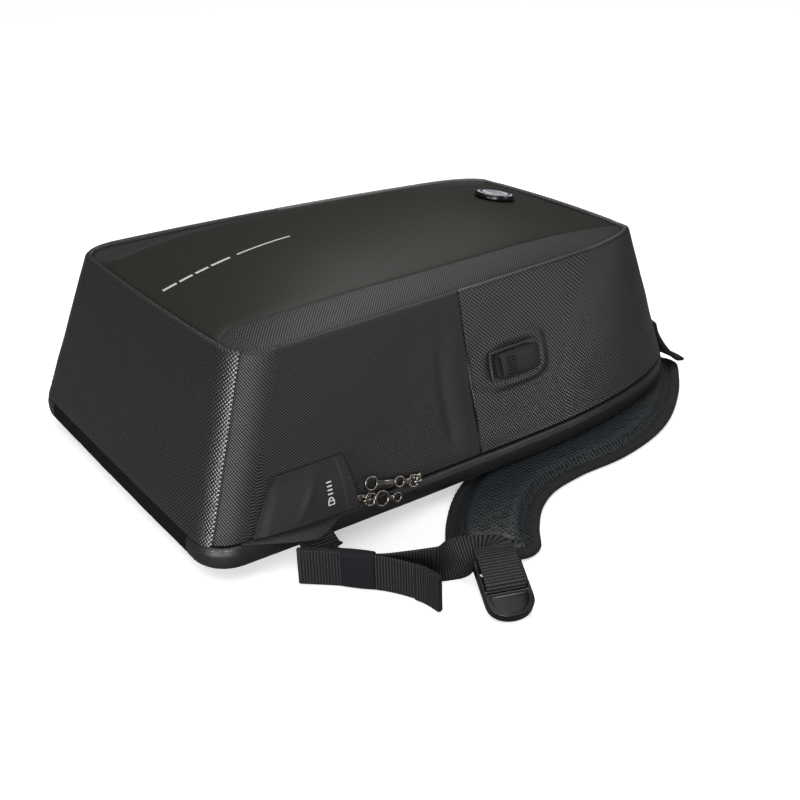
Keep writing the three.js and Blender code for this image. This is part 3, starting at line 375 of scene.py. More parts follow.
def smooth_line(points, steps):
    """A centripetal Catmull-Rom line through points, read at even distances along it.

    Each span is the cubic a + b s + c s^2 + d s^3 whose end tangents come from the divided
    differences over knots spaced by the square root of the distances.
    """
    p = np.asarray(points, float)
    p = np.concatenate([[2 * p[0] - p[1]], p, [2 * p[-1] - p[-2]]])
    p0, p1, p2, p3 = p[:-3], p[1:-2], p[2:-1], p[3:]
    pairs = ((p0, p1), (p1, p2), (p2, p3))
    d0, d1, d2 = (np.sqrt(np.linalg.norm(b - a, axis=1))[:, None] for a, b in pairs)
    t1 = ((p1 - p0) / d0 - (p2 - p0) / (d0 + d1) + (p2 - p1) / d1) * d1
    t2 = ((p2 - p1) / d1 - (p3 - p1) / (d1 + d2) + (p3 - p2) / d2) * d1
    s = np.linspace(0, 1, 60, endpoint=False)[None, :, None]
    a, b = p1[:, None], t1[:, None]
    c = (-3 * p1 + 3 * p2 - 2 * t1 - t2)[:, None]
    d = (2 * p1 - 2 * p2 + t1 + t2)[:, None]
    fine = np.concatenate([(a + b * s + c * s**2 + d * s**3).reshape(-1, 3), p[-2:-1]])
    run = run_lengths(fine)
    return read_line(np.linspace(0, run[-1], steps), run, fine)


def run_of(line):
    """Unit tangents of a line."""
    return unit(np.gradient(line, axis=0))


def length_of(line):
    """The length of a line in space."""
    return float(np.linalg.norm(np.diff(line, axis=0), axis=1).sum())


# Materials


class Nodes:
    """Short calls for the nodes of one tree."""

    def __init__(self, tree):
        self.tree = tree

    def add(self, kind, inputs=None, **settings):
        node = self.tree.nodes.new(kind)
        for name, value in settings.items():
            setattr(node, name, value)
        for name, value in (inputs or {}).items():
            self.put(node.inputs[name], value)
        return node

    def put(self, socket, value):
        if isinstance(value, bpy.types.NodeSocket):
            self.tree.links.new(value, socket)
        elif value is not None:
            socket.default_value = value

    def math(self, operation, a, b=None):
        node = self.add("ShaderNodeMath", operation=operation)
        self.put(node.inputs[0], a)
        self.put(node.inputs[1], b)
        return node.outputs[0]

    def mix(self, share, a, b, blend="MIX"):
        node = self.add("ShaderNodeMix", data_type="RGBA", blend_type=blend)
        self.put(node.inputs["Factor"], share)
        self.put(node.inputs["A"], a)
        self.put(node.inputs["B"], b)
        return node.outputs["Result"]

    def scaled(self, value, low, high):
        node = self.add("ShaderNodeMapRange", {"Value": value, "To Min": low, "To Max": high})
        return node.outputs["Result"]

    def noise(self, where, scale, detail, roughness=0.5):
        sizes = {"Vector": where, "Scale": scale, "Detail": detail, "Roughness": roughness}
        return self.add("ShaderNodeTexNoise", sizes).outputs["Fac"]

    def cells(self, given, feature, **more):
        """Distances of a Voronoi pattern with one cell to a pitch."""
        rate = self.math("DIVIDE", 1.0, given["Pitch"])
        sizes = {"Vector": given["Vector"], "Scale": rate, **more}
        return self.add("ShaderNodeTexVoronoi", sizes, feature=feature).outputs["Distance"]


def node_group(name, inputs, outputs, build):
    """A shader node group with named sockets, made once."""
    if name in bpy.data.node_groups:
        return bpy.data.node_groups[name]
    tree = bpy.data.node_groups.new(name, "ShaderNodeTree")
    for title, kind, default in inputs:
        socket = tree.interface.new_socket(title, in_out="INPUT", socket_type=kind)
        if default is not None:
            socket.default_value = default
    for title, kind in outputs:
        tree.interface.new_socket(title, in_out="OUTPUT", socket_type=kind)
    nodes = Nodes(tree)
    source, sink = nodes.add("NodeGroupInput"), nodes.add("NodeGroupOutput")
    for title, value in build(nodes, source.outputs).items():
        nodes.put(sink.inputs[title], value)
    return tree


FLOAT, COLOR, VECTOR = "NodeSocketFloat", "NodeSocketColor", "NodeSocketVector"
PATTERN_INPUTS = (("Vector", VECTOR, None), ("Pitch", FLOAT, 0.002))
DUST_COLOR = (0.42, 0.40, 0.37, 1)


def build_weave(n, given):
    """Over-and-under threads: the product of a sine along and a sine across, with loose fibres."""
    spot = n.add("ShaderNodeSeparateXYZ", {"Vector": given["Vector"]})
    rate = n.math("DIVIDE", 2 * math.pi, given["Pitch"])
    drift = n.math("MULTIPLY", n.noise(given["Vector"], 260.0, 2.0), 0.9)
    wave_u = n.math("SINE", n.math("ADD", n.math("MULTIPLY", spot.outputs["X"], rate), drift))
    wave_v = n.math("SINE", n.math("ADD", n.math("MULTIPLY", spot.outputs["Y"], rate), drift))
    height = n.math("ADD", n.math("MULTIPLY", n.math("MULTIPLY", wave_u, wave_v), 0.5), 0.5)
    fibres = n.scaled(n.noise(given["Vector"], 2600.0, 3.0), 0.8, 2.0)
    # Shade paints the hollows between threads darker, as painted shade, and the raised threads lighter,
    # as a painted highlight, times the fibres' own random tone.
    shade = n.math("MULTIPLY", n.math("POWER", height, 1.7), fibres)
    return {"Height": height, "Shade": shade}


def build_ribs(n, given):
    """Cross ribs of webbing: a sine along the strip, broken by a finer one across it."""
    spot = n.add("ShaderNodeSeparateXYZ", {"Vector": given["Vector"]})
    rate = n.math("DIVIDE", 2 * math.pi, given["Pitch"])
    along = n.math("SINE", n.math("MULTIPLY", spot.outputs["X"], rate))
    across = n.math("SINE", n.math("MULTIPLY", spot.outputs["Y"], n.math("MULTIPLY", rate, 1.4)))
    height = n.math("ADD", n.math("MULTIPLY", along, 0.34), n.math("MULTIPLY", across, 0.16))
    height = n.math("ADD", height, 0.5)
    # Shade is the rib height: the troughs between ribs are painted darker as shade and the ribs
    # lighter.
    return {"Height": height, "Shade": height}


def build_spacer(n, given):
    """Spacer mesh: round holes at the cells of a Voronoi pattern with little disorder."""
    distance = n.cells(given, "F1", Randomness=0.25)
    height = n.scaled(n.math("MULTIPLY", distance, 1.7), 0.0, 1.0)
    # The holes are painted dark as their shade, and the mesh between them lighter.
    return {"Height": height, "Shade": height}


def build_grain(n, given):
    """Leather grain: small pebbles from Voronoi distances, with finer noise on them."""
    distance = n.cells(given, "SMOOTH_F1")
    fine = n.math("MULTIPLY", n.noise(given["Vector"], 2200.0, 3.0), 0.3)
    height = n.math("ADD", n.math("SUBTRACT", 1.0, distance), fine)
    # Shade paints the crevices between pebbles darker, as painted shade, and their tops lighter.
    return {"Height": height, "Shade": n.scaled(distance, 1.0, 0.4)}


def build_speckle(n, given):
    """Moulded or tumbled finish: fine noise, with faint longer scuffs."""
    rate = n.math("DIVIDE", 1.0, given["Pitch"])
    scuff = n.noise(given["Vector"], 190.0, 6.0, 0.7)
    return {"Height": n.noise(given["Vector"], rate, 4.0), "Shade": n.scaled(scuff, 0.2, 0.9)}


def build_handling(n, given):
    """Uneven dye and dust: a colour that drifts darker and lighter, and a patchy mask."""
    slow = n.scaled(n.noise(given["Vector"], 9.0, 5.0, 0.62), 0.0, 1.0)
    dust = n.noise(given["Vector"], 38.0, 8.0, 0.72)
    dark = n.mix(n.math("MULTIPLY", slow, given["Amount"]), given["Color"], given["Low"])
    limits = {"Value": dust, "From Min": 0.56, "From Max": 0.8}
    patch = n.add("ShaderNodeMapRange", limits).outputs["Result"]
    worn = n.mix(n.math("MULTIPLY", patch, given["Dust"]), dark, DUST_COLOR)
    return {"Color": worn, "Mask": patch}


PATTERNS = {"weave": build_weave, "ribs": build_ribs, "spacer": build_spacer, "grain": build_grain,
            "speckle": build_speckle}
HANDLING_INPUTS = (("Vector", VECTOR, None), ("Color", COLOR, (0.1, 0.1, 0.1, 1)),
                   ("Low", COLOR, (0, 0, 0, 1)), ("Amount", FLOAT, 0.4), ("Dust", FLOAT, 0.05))


def tone(color, factor=1.0):
    """A colour made darker or lighter by a factor, with its alpha."""
    return tuple(min(1.0, c * factor) for c in color[:3]) + (1.0,)


def finish_material(name, color, pattern, pitch, depth, roughness, contrast, spread=0.12,
                    object_space=False, sheen=0.0, metallic=0.0, dust=0.05, coat=0.0, gloss=0.25):
    """A Principled finish whose colour, roughness and bump follow one pattern and its handling."""
    if name in bpy.data.materials:
        return bpy.data.materials[name]
    material = bpy.data.materials.new(name)
    material.use_nodes = True
    material.node_tree.nodes.clear()
    n = Nodes(material.node_tree)
    spots = n.add("ShaderNodeTexCoord").outputs
    weave = node_group("Pattern " + pattern, PATTERN_INPUTS, (("Height", FLOAT), ("Shade", FLOAT)),
                       PATTERNS[pattern])
    handling = node_group("Handling", HANDLING_INPUTS, (("Color", COLOR), ("Mask", FLOAT)),
                          build_handling)
    where = spots["Object" if object_space else "UV"]
    cloth = n.add("ShaderNodeGroup", {"Vector": where, "Pitch": pitch}, node_tree=weave).outputs
    shade = cloth["Shade"]
    # The pattern's Shade runs the colour from a darker tone to a lighter one. This is painted shade in
    # the low places of weave, ribs, grain and mesh and a painted highlight on the raised threads, mixed
    # with the real random tone of fibres and scuffs.
    shaded = n.mix(shade, tone(color, 1 - contrast), tone(color, 1 + contrast))
    worn = {"Vector": spots["Object"], "Color": shaded, "Low": tone(color, 0.6), "Amount": 0.35,
            "Dust": dust}
    wear = n.add("ShaderNodeGroup", worn, node_tree=handling)
    bump = n.add("ShaderNodeBump", {"Height": cloth["Height"], "Distance": depth, "Strength": 1.0})
    surface = n.add("ShaderNodeBsdfPrincipled", {
        "Base Color": wear.outputs["Color"],
        "Roughness": n.scaled(shade, roughness + spread / 2, roughness - spread / 2),
        "Specular IOR Level": n.scaled(shade, gloss * max(0.0, 1 - 0.9 * contrast),
                                       gloss * (1 + contrast)),
        "Normal": bump.outputs["Normal"],
        "Metallic": metallic,
        "Sheen Weight": sheen,
        "Sheen Roughness": 0.45,
        "Coat Weight": coat,
        "Coat Roughness": 0.35,
    })
    n.add("ShaderNodeOutputMaterial", {"Surface": surface.outputs["BSDF"]})
    return material


def materials():
    """Every finish on the bag, by its own name.

    A row has the finish's title, colour and pattern, the pattern's pitch and depth in metres, the
    roughness, the contrast between the pattern's low and high places, and what else it sets.
    """
    look = bpy.context.scene.backpack_looks
    coarse, fine = look.weave_pitch, look.twill_pitch
    solid = dict(object_space=True)
    rows = {
        "smooth": ("Smooth front cloth", tone(look.front), "speckle", 0.0006, 0.00004, 0.5, 0.16,
                   dict(spread=0.08, dust=0.008, gloss=0.14)),
        "coarse": ("Coarse basket weave", tone(look.body, 0.75), "weave", coarse, 0.00026, 0.42, 1.0,
                   dict(spread=0.24, dust=0.006, gloss=0.9)),
        "wall": ("Fine wall twill", tone(look.body, 1.75), "weave", fine, 0.00014, 0.56, 1.0,
                 dict(dust=0.008, gloss=0.34)),
        "flap": ("Flap cloth", tone(look.body, 1.35), "weave", 0.0011, 0.0001, 0.56, 0.8,
                 dict(dust=0.008, gloss=0.26)),
        "leather": ("Trim leatherette", tone(look.leather), "grain", 0.0009, 0.00004, 0.42, 0.3,
                    dict(spread=0.08, dust=0.004, coat=0.1, gloss=0.55)),
        "mesh": ("Spacer mesh", tone(look.mesh), "spacer", 0.0034, 0.0014, 0.6, 1.0,
                 dict(solid, dust=0.005, gloss=0.3)),
        "tape": ("Binding tape", tone(look.tape), "ribs", 0.0012, 0.0002, 0.75, 0.45,
                 dict(sheen=0.03, dust=0.02)),
        "webbing": ("Strap webbing", tone(look.webbing), "ribs", 0.0020, 0.0005, 0.55, 0.95,
                    dict(dust=0.01, gloss=0.3)),
        "elastic": ("Keeper elastic", tone(look.elastic), "ribs", 0.0011, 0.0002, 0.75, 0.4,
                    dict(sheen=0.02, dust=0.01)),
        "plastic": ("Moulded plastic", tone(look.plastic), "speckle", 0.0004, 0.00005, 0.26, 0.15,
                    dict(solid, dust=0.005, gloss=0.3)),
        "port": ("Port plastic", tone(look.plastic, 3.2), "speckle", 0.0004, 0.00004, 0.5, 0.1,
                 dict(solid, dust=0.005, gloss=0.3)),
        "metal": ("Gunmetal", tone(look.metal), "speckle", 0.004, 0.00001, 0.24, 0.1,
                  dict(solid, spread=0.04, metallic=1.0, dust=0.0)),
        "teeth": ("Zip coil", tone(look.plastic), "ribs", 0.0016, 0.0004, 0.5, 0.5, dict(dust=0.02)),
        "enamel": ("White enamel", (0.82, 0.83, 0.85, 1), "speckle", 0.0008, 0.00001, 0.22, 0.02,
                   dict(solid, dust=0.01, coat=0.5)),
        "mark": ("Badge marking", (0.022, 0.03, 0.07, 1), "speckle", 0.0008, 0.00001, 0.3, 0.05,
                 dict(solid, dust=0.0)),
        # Thin dark discs for the port's perforations: painted shade standing in for holes that are not
        # cut.
        "hole": ("Dark perforation", (0.001, 0.001, 0.001, 1), "speckle", 0.0008, 0.00001, 0.6, 0.05,
                 dict(solid, dust=0.0, gloss=0.1)),
        "print": ("Grey print", (0.55, 0.55, 0.53, 1), "speckle", 0.0005, 0.00002, 0.55, 0.08,
                  dict(solid, dust=0.02)),
        "under": ("Underside cloth", tone(look.body, 0.35), "weave", fine, 0.0002, 0.8, 0.5,
                  dict(dust=0.01, gloss=0.12)),
        "thread": ("Sewing thread", tone(look.body, 2.4), "speckle", 0.0004, 0.00005, 0.7, 0.3,
                   dict(solid, sheen=0.1)),
    }
    return {key: finish_material(*row[:-1], **row[-1]) for key, row in rows.items()}


# Walls


def wall_points(t_from, t_to, columns, foot, relief):
    """A wall panel with a rolled rim, as closed sections of heights and depths.

    A section runs up the outside, round an arc of radius ROLL about a point one radius inside
    the rim, and down the inside a wall's thickness in. Its ends follow t_from(up) and t_to(up).
    """
    outside, bend, inside = 42, 15, 7
    rolled = slice(outside, outside + bend)
    padded = slice(0, outside + bend // 2 + 1)
    ups = np.concatenate([np.linspace(0, 1, outside), np.ones(bend), np.linspace(0.9, 0, inside)])
    arc = np.radians(np.linspace(168, -90, bend))
    share = np.linspace(0, 1, columns)[:, None]
    t = mix(t_from(ups)[None, :], t_to(ups)[None, :], share)
    up = np.broadcast_to(ups, t.shape)
    spot = on_wall(t, up, foot)
    along, rise, inward = wall_axes(t, up, foot)
    lift, depth = np.zeros_like(t), np.zeros_like(t)
    lift[:, rolled] = ROLL * np.sin(arc)
    depth[:, rolled] = ROLL * (1 + np.cos(arc))
    depth[:, outside + bend:] = WALL
    lift[:, -1] = (-WALL * inward[:, -1, 2]) / rise[:, -1, 2]
    fade = np.clip(1.25 - up[:, padded], 0.25, 1)
    depth[:, padded] -= relief(spot, up, share)[:, padded] * fade
    return spot + rise * lift[..., None] + inward * depth[..., None]


def panel_relief(edge_sink, waves):
    """How far a padded wall stands out: a pillow between its seams, and slow waves."""

    def relief(spot, up, share):
        x, y, z = spot[..., 0], spot[..., 1], spot[..., 2]
        ends = edge_sink * (bump_at(share, 0, 0.025) + bump_at(share, 1, 0.025))
        low = bump_at(up, 0, 0.03) * 0.7
        roll = waves * (np.sin(x / 23 + z / 31) * np.sin(z / 19 - x / 47 + y / 41))
        roll = roll + 0.5 * waves * np.sin(x / 11 - z / 13 + y / 17) * np.sin(z / 9 + x / 61)
        return roll * np.clip(4 * up * (1 - up), 0, 1) - ends - low

    return relief


def side_relief(mirror):
    """The port side: its padded rear half swells, with a fold down the seam and past the port."""
    plain = panel_relief(0.8, 0.55)
    port_x, port_z = PORT_DISTANCE - HALF_LENGTH, 86.5

    def relief(spot, up, share):
        x, z = spot[..., 0], spot[..., 2]
        height = plain(spot, up, share)
        seam_x = SIDE_SEAM - HALF_LENGTH
        height += 1.6 * np.exp(-np.clip(x - seam_x, 0, None) / 26.0) * (x > seam_x)
        if mirror > 0:
            dx, dz = (x - port_x - 1) / 28.5, (z - port_z) / 16.0
            ring = (dx**4 + dz**4) ** 0.25
            lip = bump_at(ring, 1.0, 0.13) * smooth_step(-0.95, -0.3, dx)
            height += 2.6 * lip - 1.0 * bump_at(ring, 1.32, 0.16)
        return (height + gathers(x, up)) * smooth_step(0, 0.05, up)

    return relief


def gathers(x, up):
    """Short upright puckers under the rolled rim, from the seam behind it: a sine along x."""
    return 0.22 * np.sin(2 * np.pi * x / 4.8 + 0.7 * np.sin(x / 9.0)) * smooth_step(0.86, 0.95, up)


def lower_side_relief(waves):
    """The port side's lower half: a pillow with a soft upright valley just before the seam."""
    plain = panel_relief(0.8, waves)

    def relief(spot, up, share):
        x, z = spot[..., 0], spot[..., 2]
        valley = -34.0 + 2.0 * np.sin(z / 17.0)
        fade = smooth_step(34, 52, z) * (1 - smooth_step(98, 128, z))
        height = plain(spot, up, share) - 2.0 * bump_at(x, valley, 4.5) * fade
        height += 0.9 * bump_at(x, valley + 11, 6.0) * fade
        return height + 0.8 * bump_at(x, -140, 38) * bump_at(z, 90, 26) + gathers(x, up)

    return relief


def end_relief(waves):
    """The bottom end: a pillow that thins out towards its corners, so that it bends softly there."""
    plain = panel_relief(1.0, waves)

    def relief(spot, up, share):
        towards_corner = smooth_step(80, 150, np.abs(spot[..., 1]))
        return plain(spot, up, share) - 1.0 * towards_corner * smooth_step(0, 0.08, up) + 1.0

    return relief


def step_of(t):
    """The seam gap near t, as a step of t."""
    half = 0.05
    ahead, behind = (on_wall(np.array(t + side), np.array(0.0)) for side in (half, -half))
    return SEAM_GAP / np.linalg.norm(ahead - behind) * (2 * half)


def level(value):
    """An end of a wall panel that stays at one t from the foot to the rim."""
    return lambda ups: np.full(ups.shape, value)


def make_walls():
    """The six panels of the walls, each from the zip slot up and over the rolled rim."""
    finish = materials()
    seam = lambda ups: port_side_at(SIDE_SEAM, ups)
    before = lambda ups: seam(ups) - step_of(0.5)
    mirror = lambda end: (lambda ups: far(end(ups)))
    low, high = level(PORT_CORNER), level(TOP_SEAM)
    top = level(TOP_SEAM + step_of(2.1))
    bottom_from = level(far(PORT_CORNER) + step_of(5.5))
    bottom_to = level(CORNER_SEAM - step_of(7.5))
    waves = bpy.context.scene.backpack_sizes.waves
    plain = panel_relief(1.0, waves)
    above_trim = TRIM_TOP + CLEARANCE
    rows = (
        ("bottom_panel", bottom_from, bottom_to, 190, above_trim, end_relief(waves), "coarse"),
        ("side_panel_lower_port", low, before, 190, WALL_FOOT, lower_side_relief(waves), "wall"),
        ("side_panel_upper_port", seam, high, 220, WALL_FOOT, side_relief(1), "coarse"),
        ("top_panel", top, mirror(top), 110, WALL_FOOT, plain, "coarse"),
        ("side_panel_upper_far", mirror(high), mirror(seam), 190, WALL_FOOT, side_relief(-1), "coarse"),
        ("side_panel_lower_far", mirror(before), mirror(low), 120, WALL_FOOT, plain, "wall"),
    )
    for name, start, end, columns, foot, relief, cloth in rows:
        points = wall_points(start, end, columns, foot, relief)
        piece = tube("soft_" + name, points, sharp=80)
        finish_piece(piece, finish[cloth], (name,))


# Front face


def inner_rim(t):
    """The front face's own edge, in plan, inside the rolled rim."""
    return np.stack(beside_outline(t, RIM, -FACE_INSET), -1)


def face_half_width(x):
    """Half the front face's width at x."""
    u = (x - RIM["x"][0]) / (RIM["x"][1] - RIM["x"][0])
    return mix(RIM["width"][0], RIM["width"][1], u) / 2 + 4 * RIM["bow"][0] * u * (1 - u) - FACE_INSET


def face_height(x, y):
    """The domed front: a crown 1 - |y/w|^2.2 across, times ramps that ease in from both ends."""
    across = 1 - np.minimum(1, np.abs(y) / face_half_width(x)) ** CROWN["shape"]
    low = np.clip((x - RIM["x"][0]) / CROWN["ramp"], 0, 1)
    high = np.clip((RIM["x"][1] - x) / CROWN["ramp"], 0, 1)
    lengthwise = (1 - (1 - low) ** 2) * (1 - (1 - high) ** 2)
    return rim_height(x) - CROWN["drop"] + CROWN["rise"] * across * lengthwise


def face_grid(t, share):
    """Points of the front face: t is a place on the rim, share runs from -1 to 1 across."""
    edge = inner_rim(t)
    ends = inner_rim(np.array([-1.0, 2.0]))[:, 0]
    near_bottom = np.maximum(0, 1 - (edge[..., 0] - ends[0]) / RIM["bottom"][0])
    near_top = np.maximum(0, 1 - (ends[1] - edge[..., 0]) / RIM["top"][0])
    y = share * np.abs(edge[..., 1])
    top_bow = RIM["bow"][1] * (2 / RIM["width"][1]) ** 2
    bottom_bow = RIM["bow"][3] * (2 / RIM["width"][0]) ** 2
    x = edge[..., 0] + (top_bow * near_top - bottom_bow * near_bottom) * (edge[..., 1] ** 2 - y**2)
    return np.stack([x, y, face_height(x, y)], -1)


def face_wave(x, y):
    """The slow unevenness of the padded front."""
    return 0.25 * np.sin(x / 37 + 0.6) * np.sin(y / 29 + x / 83)


def border_share(t):
    """The share at which the smooth panel ends: it is drawn in near the bottom end."""
    spot = face_grid(t, np.ones_like(t))
    from_bottom, reach = spot[..., 0] - RIM["x"][0], 22
    fade = np.exp(-np.clip(from_bottom - reach, 0, None) / 60.0)
    drawn_in = 0.10 * smooth_step(0, reach, from_bottom) * fade
    return (BORDER_SHARE - drawn_in) * face_half_width(spot[..., 0]) / spot[..., 1]


def face_strip(name, low, high, rows, pillow):
    """A strip of the front between two shares, with its long edges sunk into their seams."""
    t = np.concatenate([np.linspace(-1, 0, 30)[:-1], np.linspace(0, 1, 110)[:-1],
                        np.linspace(1, 2, 44)])
    a, b = low(t)[:, None], high(t)[:, None]
    v = np.linspace(0, 1, rows)[None, :]
    grid = face_grid(np.broadcast_to(t[:, None], (len(t), rows)), mix(a, b, v))
    width = np.abs(grid[:, -1, 1] - grid[:, 0, 1])[:, None]
    edge = np.minimum(v, 1 - v) * width
    ends = np.minimum(np.arange(len(t)), len(t) - 1 - np.arange(len(t)))[:, None] * 1.3
    x, y = grid[..., 0], grid[..., 1]
    grid[..., 2] += pillow * (1 - np.exp(-edge / 4.0)) * (1 - np.exp(-ends / 3.0)) - pillow - 1.5
    grid[..., 2] += face_wave(x, y)
    return sheet_mesh(name, grid, WALL)


def make_front():
    """The smooth domed panel, the two strips of cloth beside it and the plain printed bars."""
    finish = materials()
    gap = SEAM_GAP / 100
    panel = face_strip("soft_front_panel", lambda t: -border_share(t), border_share, 110, 0.9)
    finish_piece(panel, finish["smooth"], ("front_panel",))
    strips = (
        ("front_gusset_port", lambda t: -np.ones_like(t), lambda t: -border_share(t) - gap),
        ("front_gusset_far", lambda t: border_share(t) + gap, lambda t: np.ones_like(t)),
    )
    for name, low, high in strips:
        piece = face_strip("soft_" + name, low, high, 34, 0.8)
        finish_piece(piece, finish["wall"], (name,))
    bars = [face_bar("printed_bar_long", 116, 161, 1.7)]
    for i, (start, end) in enumerate(((55, 66), (68.5, 79), (81.5, 92), (94.5, 110))):
        bars.append(face_bar("printed_bar_%d" % i, start, end, 2.6))
    finish_piece(join("printed_bars", bars), finish["print"])


def face_bar(name, start, end, width):
    """A thin plain printed bar on the middle line, a hair above the panel."""
    x = np.linspace(start - HALF_LENGTH, end - HALF_LENGTH, 24)[:, None]
    y = np.linspace(-width / 2, width / 2, 5)[None, :]
    x, y = np.broadcast_arrays(x, y)
    return sheet_mesh(name, np.stack([x, y, face_height(x, y) + (face_wave(x, y) + 0.1)], -1), 0.16)


# Bands that follow the base: the padded trim, the zip and the wings


def band_points(t, heights, insets):
    """Sections carried round the base outline: heights above the floor and distances inwards."""
    heights, insets = np.broadcast_arrays(heights, insets)
    x, y = beside_outline(t[:, None], BASE, -insets)
    return np.stack([x, y, np.broadcast_to(heights, x.shape)], -1)


def even_places(t_from, t_to, count):
    """Places t that are evenly spaced along the base between two ends, and its length there."""
    t = np.linspace(t_from, t_to, 1200)
    run = run_lengths(outline(t, BASE))
    return np.interp(np.linspace(0, run[-1], count), run, t), run[-1]


def trim_band(name, t_from, t_to, bulge, wrinkle):
    """The padded trim: a bulge like a flattened half circle outside and flat inside."""
    t, length = even_places(t_from, t_to, 420 if bulge > 1 else 90)
    rounded, flat = 19, 9
    turn = np.linspace(-np.pi / 2, np.pi / 2, rounded)
    middle = (TRIM_TOP + TRIM_UNDERSIDE) / 2
    tall = (TRIM_TOP - TRIM_UNDERSIDE) / 2
    side = np.sign(np.sin(turn)) * np.abs(np.sin(turn)) ** 0.8
    heights = np.concatenate([middle + tall * side, np.linspace(TRIM_TOP, TRIM_UNDERSIDE, flat)])
    outside = bulge * (2 * np.cos(turn) ** 0.8 - 1)
    insets = np.concatenate([-outside, np.full(flat, TRIM_DEPTH)])
    s = np.linspace(0, length, len(t))[:, None]
    swell = np.concatenate([np.cos(turn), np.zeros(flat)])
    puff = wrinkle * (np.sin(s / 13.0) + 0.6 * np.sin(s / 5.3 + 1.0)) * swell
    outer = np.concatenate([np.ones(rounded), np.zeros(flat)])
    groove = 0.2 * bulge * bump_at(heights, TRIM_TOP - 3.0, 0.8) * outer
    return tube(name, band_points(t, heights, insets - puff + groove), sharp=80)


def zip_band(name, t_from, t_to):
    """The zip's coil: a band whose outside ripples once for each tooth."""
    pitch = 1.6
    _, length = even_places(t_from, t_to, 10)
    t, _ = even_places(t_from, t_to, int(length / pitch) * 4)
    box_low, box_high = box_mm("zip")
    turn = np.linspace(-np.pi / 2, np.pi / 2, 10)
    middle, tall = (box_low[2] + box_high[2]) / 2, (box_high[2] - box_low[2]) / 2
    ripple = 0.35 * np.sin(np.arange(len(t)) * np.pi / 2)[:, None]
    heights = np.concatenate([middle + tall * np.sin(turn), [box_high[2], box_low[2]]])
    insets = np.concatenate([1.9 - 0.7 * np.cos(turn), [6.0, 6.0]])
    outer = np.concatenate([np.ones(10), np.zeros(2)])
    return tube(name, band_points(t, heights, insets[None, :] - ripple * outer), sharp=80)


def stitch_row(name, line, normal, across, pitch, length, radius=0.35):
    """Sewn stitches: a short capsule at every pitch along a line, lying a hair above the cloth.

    A capsule is a ring of six points carried along five stations whose radius is the square
    root of 1 - s^2, so its ends are round.
    """
    run = run_lengths(line)
    at = np.arange(pitch, run[-1] - pitch, pitch)
    spot, up, side = (read_line(at, run, field) for field in (line, normal, across))
    up, side = unit(up), unit(side)
    forward = np.cross(side, up)
    s = np.array([-1.0, -0.8, 0.0, 0.8, 1.0])
    thick = np.sqrt(np.maximum(1 - s**2, 0.02)) * radius
    sides = 6
    turn = np.linspace(0, 2 * np.pi, sides, endpoint=False)[None, :, None]
    ring = side[:, None, :] * np.cos(turn) + up[:, None, :] * np.sin(turn)
    station = (s * length / 2)[None, :, None, None]
    points = spot[:, None, None, :] + forward[:, None, None, :] * station
    points = points + ring[:, None, :, :] * thick[None, :, None, None]
    points = points + up[:, None, None, :] * radius * 0.3
    body = np.concatenate([grid_faces(len(s), sides, False, True), cap_faces(len(s), sides)])
    if signed_volume(points[0], body) < 0:
        body = body[:, ::-1]
    each = len(s) * sides
    faces = (body[None] + (np.arange(len(at)) * each)[:, None, None]).reshape(-1, 4)
    return make_mesh(name, points, faces, np.zeros((len(at) * each, 2)))


def wing_sheet(name, mirror):
    """The three-cornered tab from the zip slot over the trim: out grows to its tip, then shrinks."""
    a = np.linspace(0, 1, 60)[:, None]
    b = np.linspace(0, 1, 14)[None, :]
    t = port_side_at(mix(WING_START, WING_END, a), np.zeros_like(a))
    tall = np.where(a < WING_TIP, a / WING_TIP, (1 - a) / (1 - WING_TIP))
    tall = tall - 0.06 * bump_at(a, WING_TIP, 0.06)
    out = mix(-0.5, 0.5 + 14 * tall, b)
    height = TRIM_TOP + CLEARANCE + 0.6 - 8 * tall * b**2
    grid = np.stack([*beside_outline(t, BASE, out), height], -1)
    return sheet_mesh(name, mirrored(grid, mirror), 1.2)


def mirrored(points, mirror):
    """The same points on the far side, where mirror is -1."""
    return points * np.array([1, mirror, 1])


def make_bands():
    """The padded trim in leatherette, its cloth part at the bottom end, their seams and the zip."""
    finish = materials()
    split = 6.97
    leather_end = far(split - 8)
    leather = split - 8 + step_of(7), leather_end - step_of(6)
    trim = trim_band("soft_trim_leather", *leather, TRIM_BULGE, 0.16)
    finish_piece(trim, finish["leather"], ("trim_leather",))
    cloth = trim_band("soft_trim_bottom", leather_end, split, TRIM_BULGE / 2, 0.2)
    finish_piece(cloth, finish["under"], ("trim_bottom",))
    coil = zip_band("zip_coil", PORT_CORNER + step_of(7.5), far(PORT_CORNER) - step_of(5.5))
    finish_piece(coil, finish["teeth"], ("zip",))
    t, _ = even_places(split - 8 + 0.02, leather_end - 0.02, 500)
    rows = []
    for i, (height, inset) in enumerate(((TRIM_TOP - 1.6, -0.55), (TRIM_UNDERSIDE + 1.5, -0.6))):
        line = band_points(t, np.array([height]), np.array([inset]))[:, 0]
        outward = unit(np.cross(run_of(line), UP))
        up = np.broadcast_to(UP, outward.shape)
        rows.append(stitch_row("trim_stitch_%d" % i, line, outward, up, 4.2, 2.9, 0.28))
    finish_piece(join("trim_stitching", rows), finish["thread"])


# Seams on the walls


def seam_line(name, t, up, offset):
    """A row of stitches beside a seam: the wall's own line at t, moved sideways by an offset."""
    along, _, inward = wall_axes(t, up)
    line = on_wall(t, up) + along * offset + inward * 0.5
    return stitch_row(name, line, -inward, along, 4.4, 3.0, 0.26)


